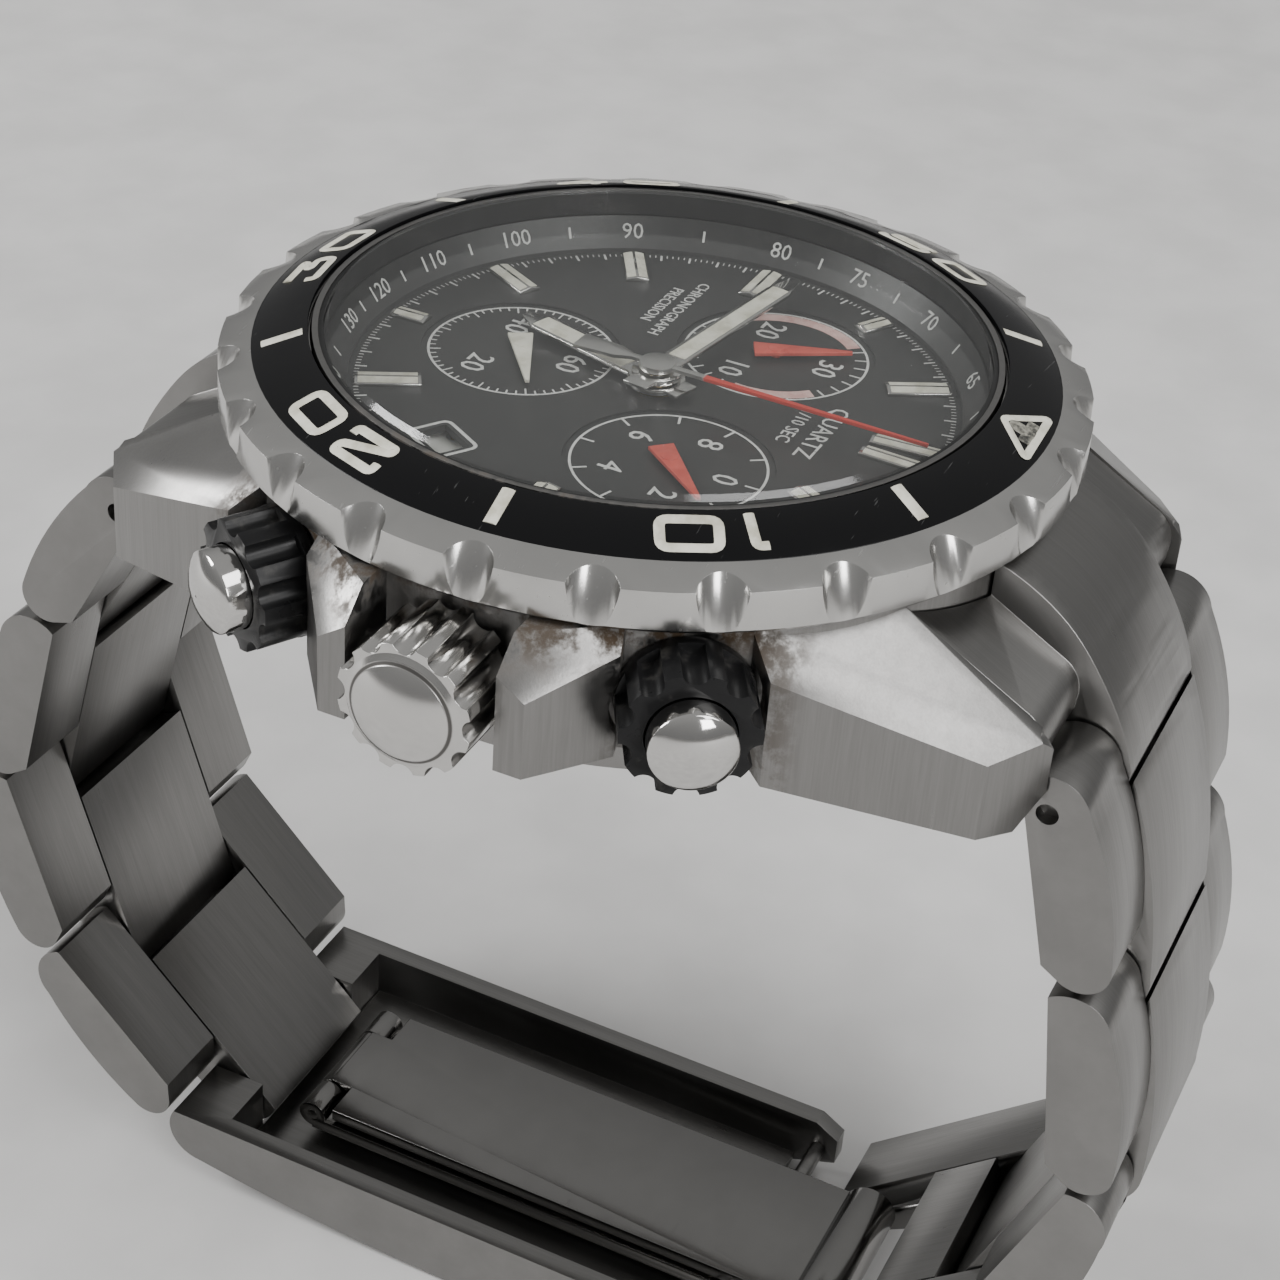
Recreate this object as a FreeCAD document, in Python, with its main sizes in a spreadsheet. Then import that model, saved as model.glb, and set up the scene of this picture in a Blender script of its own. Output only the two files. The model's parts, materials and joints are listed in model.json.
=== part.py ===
import FreeCAD, Part
import math
import os
import Sketcher
from FreeCAD import Placement, Rotation, Vector

# A steel diver's chronograph on a three-row bracelet, closed round a wrist.
# +Z leaves the dial, +X points to 3 o'clock and the crown, +Y to 12 o'clock.
# The origin is the middle of the flat outer face of the case back.

doc = FreeCAD.newDocument("chronograph")
sheet = doc.addObject("Spreadsheet::Sheet", "Sizes")

SIZES = {
    # case
    "caseBottom": 2.6, "caseTop": 10.2, "bodyRadius": 20.4, "caseBore": 15.9,
    "flangeBore": 16.65, "flangeSeat": 10.95, "neckRadius": 16.95, "neckTop": 14.0,
    "shoulderRadius": 18.25, "shoulderTop": 12.5, "boreClearance": 0.05,
    "lugGap": 21.0, "lugReach": 25.2, "lugTipHalf": 13.6, "lugRootHalf": 17.3,
    "lugShoulderHeight": 9.2, "lugFallAlong": 0.575, "lugFallAcross": 0.507,
    "lugTipFloor": 0.45,
    # case back
    "backRadius": 18.4, "backSeatRadius": 15.5, "backRim": 0.8, "backBoss": 16.9,
    "backBossHeight": 1.0, "backFloor": 2.0, "backHollow": 15.6, "backGasketRadius": 17.7,
    "gasketWidth": 0.5, "gasketDepth": 0.45,
    # crystal and flange
    "crystalRadius": 16.4, "crystalBottom": 12.7, "crystalTop": 14.3, "crystalBevel": 0.25,
    "flangeFoot": 15.25, "flangeTopInner": 16.3, "flangeTop": 12.65,
    # dial
    "dialRadius": 15.8, "dialBottom": 10.55, "dialThickness": 0.4, "counterOffset": 7.5,
    "counterRadius": 5.0, "counterDepth": 0.1, "markerHeight": 0.3,
    # bezel
    "bezelRadius": 21.5, "bezelBottom": 10.35, "bezelHeight": 2.2, "bezelInner": 17.05,
    "bezelSlope": 0.355, "insertInner": 17.15, "insertOuter": 19.87, "insertThickness": 0.5,
    "scallopRadius": 1.28, "scallops": 24, "bezelOffset": -2.7,
    # crown and pushers
    "stemHeight": 6.5, "crownRadius": 3.33, "crownBack": 20.95, "crownFace": 25.1,
    "crownDome": 0.95, "crownTravel": 1.5, "crownTubeRadius": 1.5, "crownTubeBore": 0.9,
    "pusherAngle": 29.7, "pusherTravel": 0.9, "buttonRadius": 2.03, "buttonFace": 24.75,
    "buttonDome": 0.65, "collarRadius": 3.2, "collarBack": 20.5, "collarFront": 23.55,
    "pusherTubeRadius": 1.2, "pusherRod": 0.6, "slideClearance": 0.05,
    # movement
    "movementRadius": 14.5, "plateBottom": 7.9, "plateTop": 9.4, "bridgeBottom": 4.0,
    "bridgeThickness": 0.5, "ringBottom": 3.65, "batteryRadius": 4.75, "batteryHeight": 2.6,
    "dateRingOuter": 14.1, "dateRingInner": 10.9, "toothModule": 0.16,
    # hands
    "hourHandLength": 9.1, "minuteHandLength": 13.4, "chronoHandLength": 14.5,
    "counterHandLength": 3.9, "handThickness": 0.18,
    # bracelet
    "linkPitch": 12.3, "linkNose": 2.1, "centreNose": 2.5, "centreHalf": 5.2,
    "braceletHalf": 10.3, "linkFloor": 1.1, "linkCrown": 2.7, "centreCrown": 2.95,
    "rowGap": 0.15, "pinRadius": 0.55, "pinClearance": 0.05, "noseClearance": 0.2,
    "lugPinOut": 25.4, "lugPinHeight": 0.85, "claspLength": 38.0, "claspCoverEnd": 31.5,
    "bladeHalf": 4.8, "bladeThickness": 0.8,
}
for row, (alias, number) in enumerate(SIZES.items(), start=1):
    sheet.set("A%d" % row, alias)
    sheet.set("B%d" % row, str(number))
    sheet.setAlias("B%d" % row, alias)
doc.recompute()

nodes = []


class Size:
    """A length from the sheet: its number now, and the expression that ties it to its cells."""

    def __init__(self, number, text):
        self.number = number
        self.text = text

    def join(self, sign, other, number):
        other_text = other.text if isinstance(other, Size) else repr(other)
        return Size(number, "(%s %s %s)" % (self.text, sign, other_text))

    def __add__(self, other):
        return self.join("+", other, self.number + float(other))

    def __sub__(self, other):
        return self.join("-", other, self.number - float(other))

    def __mul__(self, other):
        return self.join("*", other, self.number * float(other))

    def __truediv__(self, other):
        return self.join("/", other, self.number / float(other))

    def __neg__(self):
        return self * -1

    def __float__(self):
        return float(self.number)


def size(alias):
    return Size(float(sheet.get(alias)), "Sizes.%s" % alias)


def value(alias):
    return float(sheet.get(alias))


# ---- ways of making a piece -------------------------------------------------------------

def origin_plane(body, role):
    return [f for f in body.Origin.OriginFeatures if f.Role == role][0]


def outline_sketch(body, name, role, corners):
    """A closed outline whose corners are bound to the sheet, on one of the body's own planes."""
    sketch = body.newObject("Sketcher::SketchObject", name)
    sketch.AttachmentSupport = [(origin_plane(body, role), "")]
    sketch.MapMode = "FlatFace"
    points = [Vector(float(a), float(b), 0) for a, b in corners]
    for i, point in enumerate(points):
        sketch.addGeometry(Part.LineSegment(point, points[(i + 1) % len(points)]), False)
    for i in range(len(points)):
        sketch.addConstraint(Sketcher.Constraint("Coincident", i, 2, (i + 1) % len(points), 1))
    for i, corner in enumerate(corners):
        for kind, axis, length in (("DistanceX", -2, corner[0]), ("DistanceY", -1, corner[1])):
            if not isinstance(length, Size) and length == 0:
                sketch.addConstraint(Sketcher.Constraint("PointOnObject", i, 1, axis))
                continue
            k = sketch.addConstraint(
                Sketcher.Constraint(kind, -1, 1, i, 1, float(length)))
            if isinstance(length, Size):
                sketch.setExpression("Constraints[%d]" % k, length.text)
    return sketch


def keep(piece, label):
    """Name a finished piece: its label is also the name of its file."""
    piece.Label = label
    nodes.append(piece)
    return piece


def turned(label, outline, placement=None, kept=True):
    """A piece turned on the lathe: corners (radius, height) revolved about its own Z axis."""
    body = doc.addObject("PartDesign::Body", label)
    sketch = outline_sketch(body, label + "_outline", "XZ_Plane", outline)
    turn = body.newObject("PartDesign::Revolution", label + "_turn")
    turn.Profile = sketch
    turn.ReferenceAxis = (sketch, ["V_Axis"])
    turn.Angle = 360
    body.Tip = turn
    if placement is not None:
        body.Placement = placement
    if kept:
        keep(body, label)
    return body


def feature(label, shape, placement=None):
    """A piece whose shape is worked out below from the sheet's values."""
    piece = doc.addObject("Part::Feature", label)
    piece.Shape = shape
    if placement is not None:
        piece.Placement = placement
    return keep(piece, label)


def turned_shape(outline):
    points = [Vector(float(r), 0, float(z)) for r, z in outline]
    face = Part.Face(Part.makePolygon(points + [points[0]]))
    return face.revolve(Vector(0, 0, 0), Vector(0, 0, 1), 360)


def slab(corners, low, high):
    """A flat outline in plan, between two heights."""
    points = [Vector(x, y, low) for x, y in corners]
    return Part.Face(Part.makePolygon(points + [points[0]])).extrude(Vector(0, 0, high - low))


def side_slab(wire, left, right):
    """An outline in the Y-Z plane, drawn at X = 0, from one X to another."""
    face = Part.Face(wire)
    face.translate(Vector(left, 0, 0))
    return face.extrude(Vector(right - left, 0, 0))


def rod(radius, length, base, direction):
    return Part.makeCylinder(radius, length, base, direction)


def tube(outer, inner, low, high):
    body = Part.makeCylinder(outer, high - low, Vector(0, 0, low))
    return body.cut(Part.makeCylinder(inner, high - low + 2, Vector(0, 0, low - 1)))


def mirrored(shape, normal):
    return shape.mirror(Vector(0, 0, 0), normal)


def out_along(angle, height):
    """A placement that turns a piece's own Z axis out from the case centre at an angle."""
    spin = Rotation(Vector(0, 0, 1), angle).multiply(Rotation(Vector(0, 1, 0), 90))
    return Placement(Vector(0, 0, height), spin)


STEM = value("stemHeight")
PUSHERS = (("start_pusher", value("pusherAngle")), ("reset_pusher", -value("pusherAngle")))
COUNTERS = (("tenth_counter", 60), ("running_seconds", 180), ("minute_counter", 300))


def bearing(angle, radius, height=0.0):
    """A point at a clockwise bearing from 12 o'clock."""
    turn = math.radians(angle)
    return Vector(radius * math.sin(turn), radius * math.cos(turn), height)


# ---- case middle ------------------------------------------------------------------------

def above(spot, normal):
    """All that lies over a sloped plane through a point, as a wide block."""
    block = Part.makeBox(80, 80, 20, Vector(-40, -40, 0))
    block.Placement = Placement(spot, Rotation(Vector(0, 0, 1), normal))
    return block


def lug():
    """One lug at the upper right: a plan outline, a sloped top facet and a rising belly."""
    gap = value("lugGap") / 2
    reach = value("lugReach")
    tip = value("lugTipHalf")
    root = value("lugRootHalf")
    plan = [(gap, 13.0), (root - 4.0, 9.0), (root, 13.9), (tip, reach - 2.1), (gap, reach)]
    body = slab(plan, -2.0, value("caseTop"))
    shoulder = value("lugShoulderHeight")
    fall_y = value("lugFallAlong")
    fall_x = value("lugFallAcross")
    # the top facet, a plane that falls along the lug and away from the bracelet
    body = body.cut(above(Vector(gap, 18.2, shoulder), Vector(fall_x, fall_y, 1.0)))
    # the rounded tip and the belly, in side view
    floor = value("lugTipFloor")
    base = value("caseBottom")
    knee = Vector(0, reach - 0.6, 5.3)
    nose = Vector(0, reach + 0.25, 4.0)
    front = Vector(0, reach + 0.3, 2.8)
    heel = Vector(0, reach - 0.9, floor)
    edges = [
        Part.LineSegment(Vector(0, 8, 14), Vector(0, reach - 3, 14)).toShape(),
        Part.LineSegment(Vector(0, reach - 3, 14), knee).toShape(),
        Part.Arc(knee, nose, front).toShape(),
        Part.LineSegment(front, heel).toShape(),
        Part.LineSegment(heel, Vector(0, 13.0, base + 0.2)).toShape(),
        Part.LineSegment(Vector(0, 13.0, base + 0.2), Vector(0, 8, base)).toShape(),
        Part.LineSegment(Vector(0, 8, base), Vector(0, 8, 14)).toShape(),
    ]
    side = side_slab(Part.Wire(edges), gap - 1, root + 2)
    return body.common(side)


def crown_guard():
    """The guard between crown and start pusher: a block whose top is cut by one bevel."""
    plan = [(17.0, 3.75), (23.7, 3.75), (23.7, 5.15), (20.1, 7.9), (17.0, 7.0)]
    body = slab(plan, 3.8, value("caseTop"))
    return body.cut(above(Vector(23.7, 5.15, 7.8), Vector(0.915, 0.692, 1.0)))


def spring_bar_seat():
    return Vector(0, value("lugReach") - 2.9, 3.9)


def case_middle():
    radius = value("bodyRadius")
    low, high = value("caseBottom"), value("caseTop")
    bore = value("caseBore")
    seat = value("flangeSeat")
    neck = value("neckRadius")
    outline = [
        (bore, low), (radius - 1.2, low), (radius, low + 1.6), (radius, high - 0.6),
        (radius - 0.3, high), (value("shoulderRadius"), high),
        (value("shoulderRadius"), value("shoulderTop")), (neck, value("shoulderTop")),
        (neck, value("neckTop")), (value("flangeBore"), value("neckTop")),
        (value("flangeBore"), seat), (bore, seat),
    ]
    body = turned_shape(outline)
    core = Part.makeCylinder(bore, 20, Vector(0, 0, 0))
    for x_side in (False, True):
        for y_side in (False, True):
            piece = lug()
            if x_side:
                piece = mirrored(piece, Vector(1, 0, 0))
            if y_side:
                piece = mirrored(piece, Vector(0, 1, 0))
            body = body.fuse(piece.cut(core))
    guard = crown_guard()
    body = body.fuse(guard).fuse(mirrored(guard, Vector(0, 1, 0)))
    # the seat of the case back: bore, thread and gasket groove
    back_bore = value("backBoss") + value("boreClearance")
    body = body.cut(Part.makeCylinder(back_bore, 1.1, Vector(0, 0, low)))
    clear = Part.makeCylinder(value("backRadius") + 0.1, 9, Vector(0, 0, low - 9))
    body = body.cut(clear)
    gasket = value("backGasketRadius")
    body = body.cut(tube(gasket, gasket - value("gasketWidth"), low - 1, low + value("gasketDepth")))
    # room for the bezel's retaining ring and click spring
    body = body.cut(Part.makeTorus(value("shoulderRadius") + 0.1, 0.28, Vector(0, 0, 11.4)))
    body = body.cut(tube(20.0, 18.9, high - 0.35, high + 1))
    # stem and pusher bores, and flats that the crown and collars stand on
    out_x = Vector(1, 0, 0)
    body = body.cut(rod(value("crownTubeRadius"), 20, Vector(12, 0, STEM), out_x))
    body = body.cut(rod(value("crownRadius") + 0.3, 8, Vector(radius + 0.15, 0, STEM), out_x))
    for _, angle in PUSHERS:
        way = Vector(math.cos(math.radians(angle)), math.sin(math.radians(angle)), 0)
        lift = Vector(0, 0, STEM)
        body = body.cut(rod(value("pusherTubeRadius"), 20, lift + way * 12, way))
        body = body.cut(rod(1.9, 4.4, lift + way * 12.2, way))
        body = body.cut(rod(value("collarRadius") + 0.25, 8, lift + way * (radius - 0.1), way))
    # the spring bars' holes in the lugs
    seat_at = spring_bar_seat()
    for y_side in (1, -1):
        start = Vector(-13.4, seat_at.y * y_side, seat_at.z)
        body = body.cut(rod(0.45, 26.8, start, out_x))
    return body.removeSplitter()


feature("case_middle", case_middle())

turned("case_back_blank", [
    (0, 0), (size("backSeatRadius"), 0), (size("backRadius"), size("backRim")),
    (size("backRadius"), size("caseBottom")), (size("backBoss"), size("caseBottom")),
    (size("backBoss"), size("caseBottom") + size("backBossHeight")),
    (size("backHollow"), size("caseBottom") + size("backBossHeight")),
    (size("backHollow"), size("backFloor")), (0, size("backFloor")),
], kept=False)


def back_notches():
    """Six rim slots for the case wrench."""
    cuts = [Part.makeBox(3.0, 3.2, 0.9, Vector(-1.5, value("backRadius") - 1.9, -0.2))]
    for turn in range(1, 6):
        cuts.append(cuts[0].rotated(Vector(0, 0, 0), Vector(0, 0, 1), 60 * turn))
    return Part.makeCompound(cuts)


doc.recompute()
feature("case_back", doc.getObject("case_back_blank").Shape.cut(back_notches()))

turned("case_back_gasket", [
    (size("backGasketRadius") - size("gasketWidth"), size("caseBottom")),
    (size("backGasketRadius"), size("caseBottom")),
    (size("backGasketRadius"), size("caseBottom") + size("gasketDepth")),
    (size("backGasketRadius") - size("gasketWidth"), size("caseBottom") + size("gasketDepth")),
])

# ---- crystal, its gasket and the dial flange ----------------------------------------------

turned("crystal", [
    (0, size("crystalBottom")), (size("crystalRadius"), size("crystalBottom")),
    (size("crystalRadius"), size("crystalTop") - size("crystalBevel")),
    (size("crystalRadius") - size("crystalBevel"), size("crystalTop")), (0, size("crystalTop")),
])
turned("crystal_gasket", [
    (size("crystalRadius"), size("crystalBottom")), (size("flangeBore"), size("crystalBottom")),
    (size("flangeBore"), size("neckTop") - 0.1), (size("crystalRadius"), size("neckTop") - 0.1),
])
turned("dial_flange", [
    (size("flangeFoot"), size("flangeSeat")), (size("flangeBore"), size("flangeSeat")),
    (size("flangeBore"), size("flangeTop")), (size("flangeTopInner"), size("flangeTop")),
    (size("flangeFoot"), size("flangeSeat") + 0.25),
])

# ---- dial and its applied hour markers ------------------------------------------------------

DIAL_TOP = value("dialBottom") + value("dialThickness")


def dial():
    body = Part.makeCylinder(value("dialRadius"), value("dialThickness"),
                             Vector(0, 0, value("dialBottom")))
    body = body.cut(rod(1.15, 2, Vector(0, 0, 10), Vector(0, 0, 1)))
    for _, angle in COUNTERS:
        spot = bearing(angle, value("counterOffset"), DIAL_TOP - value("counterDepth"))
        body = body.cut(rod(value("counterRadius") + 0.1, 1, spot, Vector(0, 0, 1)))
        body = body.cut(rod(0.3, 2, bearing(angle, value("counterOffset"), 10), Vector(0, 0, 1)))
    # the date window toward 4 o'clock
    window = Part.makeBox(1.7, 2.3, 2, Vector(-0.85, -1.15, 10))
    window.rotate(Vector(0, 0, 0), Vector(0, 0, 1), -32)
    window.translate(bearing(122, 12.1))
    return body.cut(window)


def hour_marker(angle, start, end, width):
    """A bar with a roof-shaped top, its length pointing to the dial's centre."""
    high = value("markerHeight")
    half = width / 2
    wall = [Vector(-half, start, 0), Vector(half, start, 0), Vector(half, start, high * 0.6),
            Vector(0, start, high), Vector(-half, start, high * 0.6)]
    bar = Part.Face(Part.makePolygon(wall + [wall[0]])).extrude(Vector(0, end - start, 0))
    bar.rotate(Vector(0, 0, 0), Vector(0, 0, 1), -angle)
    bar.translate(Vector(0, 0, DIAL_TOP))
    return bar


def hour_markers():
    bars = []
    for hour in range(12):
        angle = hour * 30
        if hour == 0:
            for side in (-3.3, 3.3):
                bars.append(hour_marker(angle + side, 11.3, 14.9, 0.95))
        elif hour in (2, 6, 10):
            bars.append(hour_marker(angle, 12.95, 14.9, 1.0))
        elif hour != 4:
            bars.append(hour_marker(angle, 11.6, 14.9, 1.25))
    return Part.makeCompound(bars)


feature("dial", dial())
feature("hour_markers", hour_markers())

# ---- bezel --------------------------------------------------------------------------------

BEZEL_TURN = Placement(Vector(0, 0, 0), Rotation(Vector(0, 0, 1), -value("bezelOffset")))
OUTER_EDGE = size("bezelBottom") + size("bezelHeight")


def cone_height(radius):
    """The bezel's sloped top at a radius, measured up from its outer edge."""
    return OUTER_EDGE + (size("bezelRadius") - radius) * size("bezelSlope")


def bezel_ring():
    inner, outer = size("insertInner"), size("insertOuter")
    deep = value("insertThickness")
    shoulder = value("shoulderRadius") + 0.1
    outline = [
        (shoulder, value("bezelBottom")), (value("bezelRadius") - 0.25, value("bezelBottom")),
        (value("bezelRadius"), value("bezelBottom") + 0.25), (value("bezelRadius"), OUTER_EDGE),
        (outer, cone_height(outer)), (outer, float(cone_height(outer)) - deep),
        (inner, float(cone_height(inner)) - deep),
        (value("bezelInner"), float(cone_height(size("bezelInner"))) - deep),
        (value("bezelInner"), value("shoulderTop") + 0.15), (shoulder, value("shoulderTop") + 0.15),
    ]
    body = turned_shape(outline)
    body = body.cut(Part.makeTorus(value("shoulderRadius") + 0.1, 0.28, Vector(0, 0, 11.4)))
    lean = math.radians(22)
    notch = value("scallopRadius")
    axis = Vector(math.sin(lean), 0, -math.cos(lean))
    edge = Vector(value("bezelRadius") + 0.42, 0, float(OUTER_EDGE))
    cutter = rod(notch, 6, edge - axis * 3, axis)
    count = int(value("scallops"))
    cutters = []
    for n in range(count):
        cutters.append(cutter.rotated(Vector(0, 0, 0), Vector(0, 0, 1), 90 + 360.0 / count * n))
    return body.cut(Part.makeCompound(cutters))


feature("bezel_ring", bezel_ring(), BEZEL_TURN)
turned("bezel_insert", [
    (size("insertInner"), cone_height(size("insertInner")) - size("insertThickness")),
    (size("insertOuter"), cone_height(size("insertOuter")) - size("insertThickness")),
    (size("insertOuter"), cone_height(size("insertOuter"))),
    (size("insertInner"), cone_height(size("insertInner"))),
], BEZEL_TURN)
feature("bezel_retaining_ring",
        Part.makeTorus(value("shoulderRadius") + 0.1, 0.2, Vector(0, 0, 11.4)))


def click_spring():
    """A flat spring ring in its groove, with one raised finger that the bezel clicks over."""
    low = value("caseTop") - 0.35
    ring = tube(19.8, 19.1, low, low + 0.25)
    finger = Part.makeBox(3.0, 0.5, 0.2, Vector(-1.5, 19.2, low + 0.2))
    return ring.fuse(finger).removeSplitter()


feature("bezel_click_spring", click_spring())

# ---- crown, stem and clutch ------------------------------------------------------------------

CROWN_AXIS = out_along(0, STEM)


def fluted(outer, length, low, count, depth, cutter):
    """A cylinder on Z with round-bottomed grooves along its side."""
    body = Part.makeCylinder(outer, length, Vector(0, 0, low))
    cuts = []
    for n in range(count):
        turn = 2 * math.pi * n / count
        reach = outer + cutter - depth
        spot = Vector(reach * math.cos(turn), reach * math.sin(turn), low - 1)
        cuts.append(Part.makeCylinder(cutter, length + 2, spot))
    return body.cut(Part.makeCompound(cuts))


def dome(radius, low, rise):
    """A shallow cap of a sphere standing on a disc."""
    ball = (radius * radius + rise * rise) / (2 * rise)
    sphere = Part.makeSphere(ball, Vector(0, 0, low + rise - ball))
    return sphere.common(Part.makeCylinder(radius, rise + 1, Vector(0, 0, low)))


def crown():
    back, face = value("crownBack"), value("crownFace")
    body = fluted(value("crownRadius"), face - back, back, 12, 0.42, 0.62)
    body = body.fuse(dome(value("crownRadius") * 0.86, face, value("crownDome")))
    body = body.cut(Part.makeCylinder(2.1, face - back - 0.9, Vector(0, 0, back)))
    return body.removeSplitter()


feature("crown", crown(), CROWN_AXIS)
turned("crown_tube", [
    (size("crownTubeBore"), 16.2), (size("crownTubeRadius"), 16.2),
    (size("crownTubeRadius"), size("crownFace") - 1.9 - size("crownTravel") / 2),
    (size("crownTubeBore"), size("crownFace") - 1.9 - size("crownTravel") / 2),
], CROWN_AXIS)
feature("crown_gasket", Part.makeTorus(1.83, 0.26, Vector(0, 0, 22.0)), CROWN_AXIS)


def winding_stem():
    """A round stem whose inner end is filed square for the clutch wheel."""
    end = value("crownFace") - 0.9
    body = Part.makeCylinder(0.55, end - 12.4, Vector(0, 0, 12.4))
    return body.fuse(Part.makeBox(0.7, 0.7, 5.4, Vector(-0.35, -0.35, 7.0)))


feature("winding_stem", winding_stem(), CROWN_AXIS)


def clutch_wheel():
    body = fluted(1.1, 1.6, 9.0, 14, 0.18, 0.14)
    return body.cut(Part.makeBox(0.8, 0.8, 4, Vector(-0.4, -0.4, 8.0)))


feature("clutch_wheel", clutch_wheel(), CROWN_AXIS)

# ---- pushers ---------------------------------------------------------------------------------

def coil_spring(radius, wire, start, end, turns):
    """A round-wire compression spring on Z, its wire swept along a smooth line of points."""
    steps = turns * 12
    spots = []
    for n in range(steps + 1):
        turn = 2 * math.pi * n / 12
        spots.append(Vector(radius * math.cos(turn), radius * math.sin(turn),
                            start + (end - start) * n / steps))
    line_of_wire = Part.BSplineCurve()
    line_of_wire.interpolate(spots)
    ahead = line_of_wire.tangent(line_of_wire.FirstParameter)[0]
    section = Part.Wire(Part.Edge(Part.Circle(spots[0], ahead, wire)))
    return Part.Wire(line_of_wire.toShape()).makePipeShell([section], True, True)


guides = []
COLLAR_FOOT = 0.5
COLLAR_FLOOR = 0.75
COLLAR_FIT = 0.06
END_GAP = 0.2
TUBE_STANDOUT = 0.45
SPRING_POCKET = 1.3
SPRING_RADIUS, SPRING_WIRE = 0.95, 0.13
CLIP_THICKNESS = 0.2
CLIP_GROOVE = value("pusherRod") * 0.7
for name, angle in PUSHERS:
    way = out_along(angle, STEM)
    button, face = value("buttonRadius"), value("buttonFace")
    back, front = value("collarBack"), value("collarFront")
    # the button's skirt stops short of the collar's floor by its travel
    skirt = back + COLLAR_FLOOR + value("pusherTravel") + END_GAP
    head = Part.makeCylinder(button, face - skirt, Vector(0, 0, skirt))
    head = head.fuse(dome(button, face, value("buttonDome")))
    pocket = SPRING_RADIUS + SPRING_WIRE + 0.32
    head = head.cut(Part.makeCylinder(pocket, SPRING_POCKET, Vector(0, 0, skirt)))
    clip_low = value("caseBore")
    clip_high = clip_low + CLIP_THICKNESS
    rod_end = clip_low - value("pusherTravel")
    rod_body = Part.makeCylinder(value("pusherRod"), face - 1 - rod_end, Vector(0, 0, rod_end))
    rod_body = rod_body.cut(tube(1.0, CLIP_GROOVE, clip_low, clip_high))
    feature(name, head.fuse(rod_body).removeSplitter(), way)
    bore = value("pusherTubeRadius")
    clip = tube(bore + 0.05, CLIP_GROOVE, clip_low, clip_high)
    clip = clip.cut(Part.makeBox(0.7, 2, 1, Vector(-0.35, 0, clip_low - 0.4)))
    feature(name + "_clip", clip, way)
    tube_end = back + TUBE_STANDOUT
    rod_hole = value("pusherRod") + value("slideClearance")
    guide = tube(bore, rod_hole, clip_high + value("slideClearance"), tube_end)
    guide.Placement = way
    guides.append(guide)
    radius = value("collarRadius")
    sleeve = fluted(radius, front - back - COLLAR_FOOT, back + COLLAR_FOOT, 10, 0.5, 0.62)
    sleeve = sleeve.fuse(Part.makeCylinder(radius, COLLAR_FOOT, Vector(0, 0, back)))
    well = Part.makeCylinder(button + COLLAR_FIT, 5, Vector(0, 0, back + COLLAR_FLOOR))
    sleeve = sleeve.cut(well)
    sleeve = sleeve.cut(Part.makeCylinder(bore + COLLAR_FIT, 5, Vector(0, 0, back - 1)))
    feature(name + "_collar", sleeve.removeSplitter(), way)
    low, high = tube_end + 0.15, skirt + SPRING_POCKET - END_GAP
    feature(name + "_spring", coil_spring(SPRING_RADIUS, SPRING_WIRE, low, high, 4), way)
feature("pusher_tubes", Part.makeCompound(guides))

# ---- movement ---------------------------------------------------------------------------------

PLATE_LOW, PLATE_HIGH = value("plateBottom"), value("plateTop")
BRIDGE_LOW = value("bridgeBottom")
BRIDGE_HIGH = BRIDGE_LOW + value("bridgeThickness")
DATE_RING_LOW = PLATE_HIGH + 0.35
BATTERY = Vector(-5.6, -5.4, 0)
STRAP_THICKNESS = 0.2
STRAP_SCREW = BATTERY + Vector(0, value("batteryRadius") + 1.0, 0)
SCREWS = (Vector(-10.6, 5.4, 0), Vector(9.4, 7.8, 0), Vector(9.0, -8.6, 0), Vector(-0.6, 12.4, 0),
          Vector(1.6, -12.2, 0))
WHEEL_GAP = value("toothModule") * 20
MINUTE_POST = bearing(90, WHEEL_GAP)


def movement_ring():
    body = tube(value("caseBore") - 0.05, value("movementRadius") + 0.1, value("ringBottom"),
                value("dialBottom"))
    body = body.cut(rod(1.6, 10, Vector(12, 0, STEM), Vector(1, 0, 0)))
    for _, angle in PUSHERS:
        way = Vector(math.cos(math.radians(angle)), math.sin(math.radians(angle)), 0)
        body = body.cut(rod(1.9, 10, Vector(0, 0, STEM) + way * 12, way))
    return body


def main_plate():
    up = Vector(0, 0, 1)
    body = Part.makeCylinder(value("movementRadius"), PLATE_HIGH - PLATE_LOW,
                             Vector(0, 0, PLATE_LOW))
    body = body.cut(rod(0.75, 9, Vector(0, 0, 4), up))
    for _, angle in COUNTERS:
        body = body.cut(rod(0.3, 9, bearing(angle, value("counterOffset"), 4), up))
    for screw in SCREWS:
        body = body.cut(rod(0.35, 9, screw + Vector(0, 0, 4), up))
        pillar = rod(0.9, PLATE_LOW - BRIDGE_HIGH, screw + Vector(0, 0, BRIDGE_HIGH), up)
        body = body.fuse(pillar.cut(rod(0.35, 9, screw + Vector(0, 0, 1), up)))
    post = rod(0.3, 0.95, MINUTE_POST + Vector(0, 0, PLATE_HIGH), up)
    edge = tube(value("movementRadius"), value("dateRingOuter") + 0.05, PLATE_HIGH,
                value("dialBottom"))
    seat = tube(value("dateRingOuter") + 0.05, value("dateRingOuter") - 1.1, PLATE_HIGH,
                DATE_RING_LOW)
    return body.fuse([post, edge, seat]).removeSplitter()


def train_bridge():
    up = Vector(0, 0, 1)
    body = Part.makeCylinder(value("movementRadius"), BRIDGE_HIGH - BRIDGE_LOW,
                             Vector(0, 0, BRIDGE_LOW))
    hole = value("batteryRadius") + 0.25
    body = body.cut(rod(hole, 3, BATTERY + Vector(0, 0, BRIDGE_LOW - 1), up))
    for screw in SCREWS + (STRAP_SCREW,):
        body = body.cut(rod(0.35, 3, screw + Vector(0, 0, BRIDGE_LOW - 1), up))
    return body


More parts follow.
